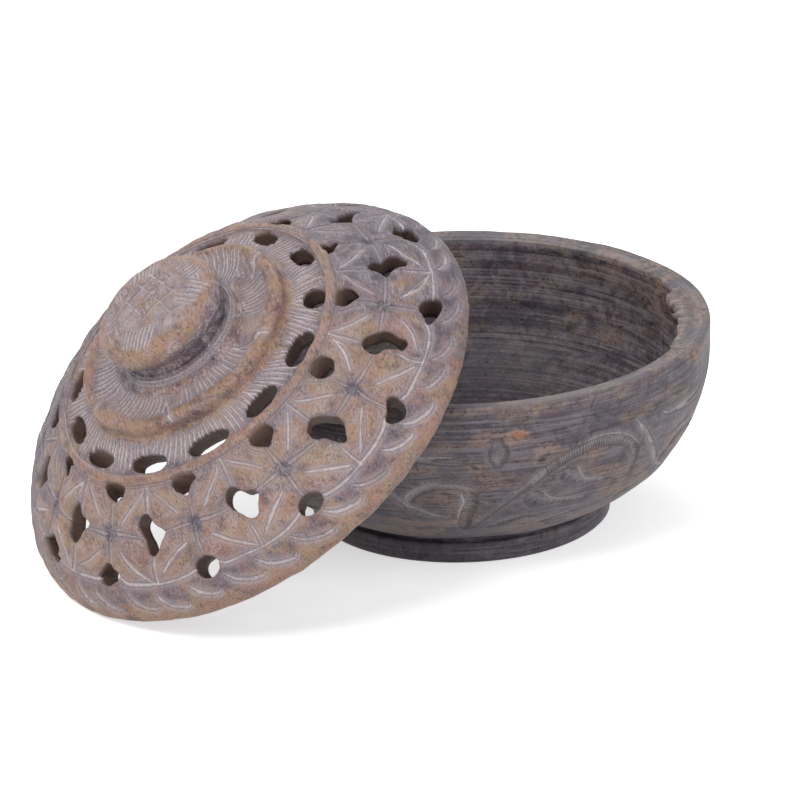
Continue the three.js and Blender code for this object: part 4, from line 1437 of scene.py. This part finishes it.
def tintLid(local, carried, s):
    # warm, rubbed places, the mauve clouds and painted shade under the knob, from the lid's own frame
    radius = np.hypot(local[:, 0], local[:, 1])
    azimuth = np.degrees(np.arctan2(local[:, 1], local[:, 0])) % 360
    noiseOf = roughness(local, 8.0, 0.6, 8)

    def band(middle, wide):
        return np.exp(-((radius - middle) / wide) ** 2) * (local[:, 2] > 12)

    warm = 0.9 * band(12.4, 1.4) * softStep((local[:, 2] - 31.0) / 1.4)
    warm = np.maximum(warm, 0.9 * band(21.9, 1.7))
    warm = np.maximum(warm, 0.8 * band(31.3, 1.0))
    warm = np.maximum(warm, 0.8 * softStep((radius - 49.6) / 0.9))
    # petals are rubbed warm, with a grey dot where the four meet
    flower = (azimuth - s["firstFlower"]) % (360 / s["flowers"]) * s["flowers"] / 360
    across = np.minimum(flower, 1 - flower) * 2 * math.pi / s["flowers"] * radius
    down = np.clip((radius - 33.0) / (s["outerVertex"] - 33.0), 0, 1)
    petal = np.abs(np.sin(2 * math.pi * flower)) * np.sin(down * 2 * math.pi) ** 2
    warm = np.maximum(warm, 0.9 * petal * (radius > 33))
    away = np.abs((azimuth + 180) % 360 - 180)
    cloudAndShade = softStep((radius - 30 + noiseOf * 6) / 8) * softStep((72 - away + noiseOf * 40) / 60)
    far = np.abs((azimuth - 110 + 180) % 360 - 180)
    beyond = softStep((radius - 26 + noiseOf * 8) / 9) * softStep((64 - far + noiseOf * 30) / 50)
    cloudAndShade = np.maximum(cloudAndShade, 1.1 * beyond)
    # painted shade: darker cloud tone on the knob's lower side and neck, under its crown
    side = softStep((14.5 - radius) / 0.8) * softStep((local[:, 2] - 24.0) / 0.6)
    cloudAndShade = np.maximum(cloudAndShade, 0.6 * side * softStep((31.8 - local[:, 2]) / 1.6))
    # the hatched leaves and band stay cool under their powder
    cloudAndShade = np.maximum(cloudAndShade, 0.25 * (radius > 13.2) * (radius < 30.5) * (1 - band(21.9, 1.7)))
    # the smooth rim is duller than the petals
    rim = softStep((radius - 46.3) / 1.0) * softStep((49.9 - radius) / 1.0)
    cloudAndShade = np.maximum(cloudAndShade, 0.26 * rim * np.clip(0.8 + noiseOf * 4, 0, 4))
    dot = np.exp(-(np.hypot(across, radius - s["flowerRadius"]) / 1.4) ** 4)
    warm = np.clip(warm * (1 - 0.75 * cloudAndShade), 0, 1)
    carried["warm"] = warm
    carried["cloudAndShade"] = np.clip(np.maximum(cloudAndShade, 1.6 * dot), 0, 1.6)
    carried["powder"] = (1 - 0.6 * softStep((radius - 46.3) / 1.0)) * (1 - 0.6 * warm * (radius < 33))
    carried["powder"] *= 1 + 0.7 * (radius < 20.5)
    carried["haze"] *= 1 - dot


def tintBowl(points, carried, s):
    hollow = carried.pop("hollow")
    radius = np.hypot(points[:, 0], points[:, 1])
    azimuth = np.degrees(np.arctan2(points[:, 1], points[:, 0]))
    # painted shade: the cloud tone darkens the foot below the bulge and the inside of the hollow
    foot = softStep((6.5 - points[:, 2]) / 2.5) * (1 - hollow)
    cloudAndShade = np.maximum(hollow * 0.3, foot * 0.8)
    banded = roughness(points * np.array([1, 1, 2.2]), 8.0, 1.0, 24)
    cloudAndShade = np.maximum(cloudAndShade, 0.95 * softStep((banded - 0.05) / 0.35))
    upper = softStep((points[:, 2] - 27) / 5) * softStep((39.0 - points[:, 2]) / 2.5) * (1 - hollow)
    cloudAndShade = np.maximum(cloudAndShade, 0.9 * upper * softStep((banded + 0.35) / 0.4)) * (1 - 0.4 * hollow)
    cloudAndShade = np.maximum(cloudAndShade, 0.55 * hollow * softStep((banded + 0.1) / 0.3))
    patchy = 0.5 + roughness(points, 5.0, 0.9, 21)
    warm = 0.8 * patchy * softStep((points[:, 2] - 30) / 8) * softStep((40 - np.abs(azimuth)) / 30)
    warm = np.maximum(warm, 0.5 * patchy * softStep((points[:, 2] - 38.5) / 1.5)) * (radius > 30)
    chips = np.zeros(len(points))
    for place, down, wide, tall, _ in s["rough"]:
        aside = turn(1) * ((azimuth - place + 180) % 360 - 180) * 45
        away = np.hypot(aside / (wide + 1), (s["height"] - points[:, 2] - down) / (tall + 1))
        chips = np.maximum(chips, softStep((1.2 - away) / 0.4) * (radius < 47))
    warm = np.maximum(warm, chips * np.clip(0.7 + 3 * roughness(points, 2.5, 0.9, 27), 0, 1.2))
    place, height, wide, tall = s["fleck"]
    aside = turn(1) * ((azimuth - place + 180) % 360 - 180) * 50
    fleck = np.exp(-np.hypot(aside / wide, (points[:, 2] - height) / tall) ** 2) * (1 - hollow)
    carried["warm"] = np.maximum(warm, 3.0 * fleck)
    carried["cloudAndShade"] = np.clip(cloudAndShade * (1 - chips), 0, 1)
    carried["powder"] = 1.0 + 0.2 * hollow + 0.9 * chips
    carried["wall"] = np.zeros(len(points))


setUpView(viewSettings)
setUpStage(viewSettings)

points, faces, carried = makeLid(lidSettings)
tintLid(points, carried, lidSettings)
lid = addMesh("pierced_lid", placeLid(points), faces, carried, lidStone)
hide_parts("lid")
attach(lid, "lid")

points, faces, carried = makeBowl(bowlSettings)
tintBowl(points, carried, bowlSettings)
bowl = addMesh("carved_bowl", points, faces, carried, bowlStone)
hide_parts("bowl")
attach(bowl, "bowl")
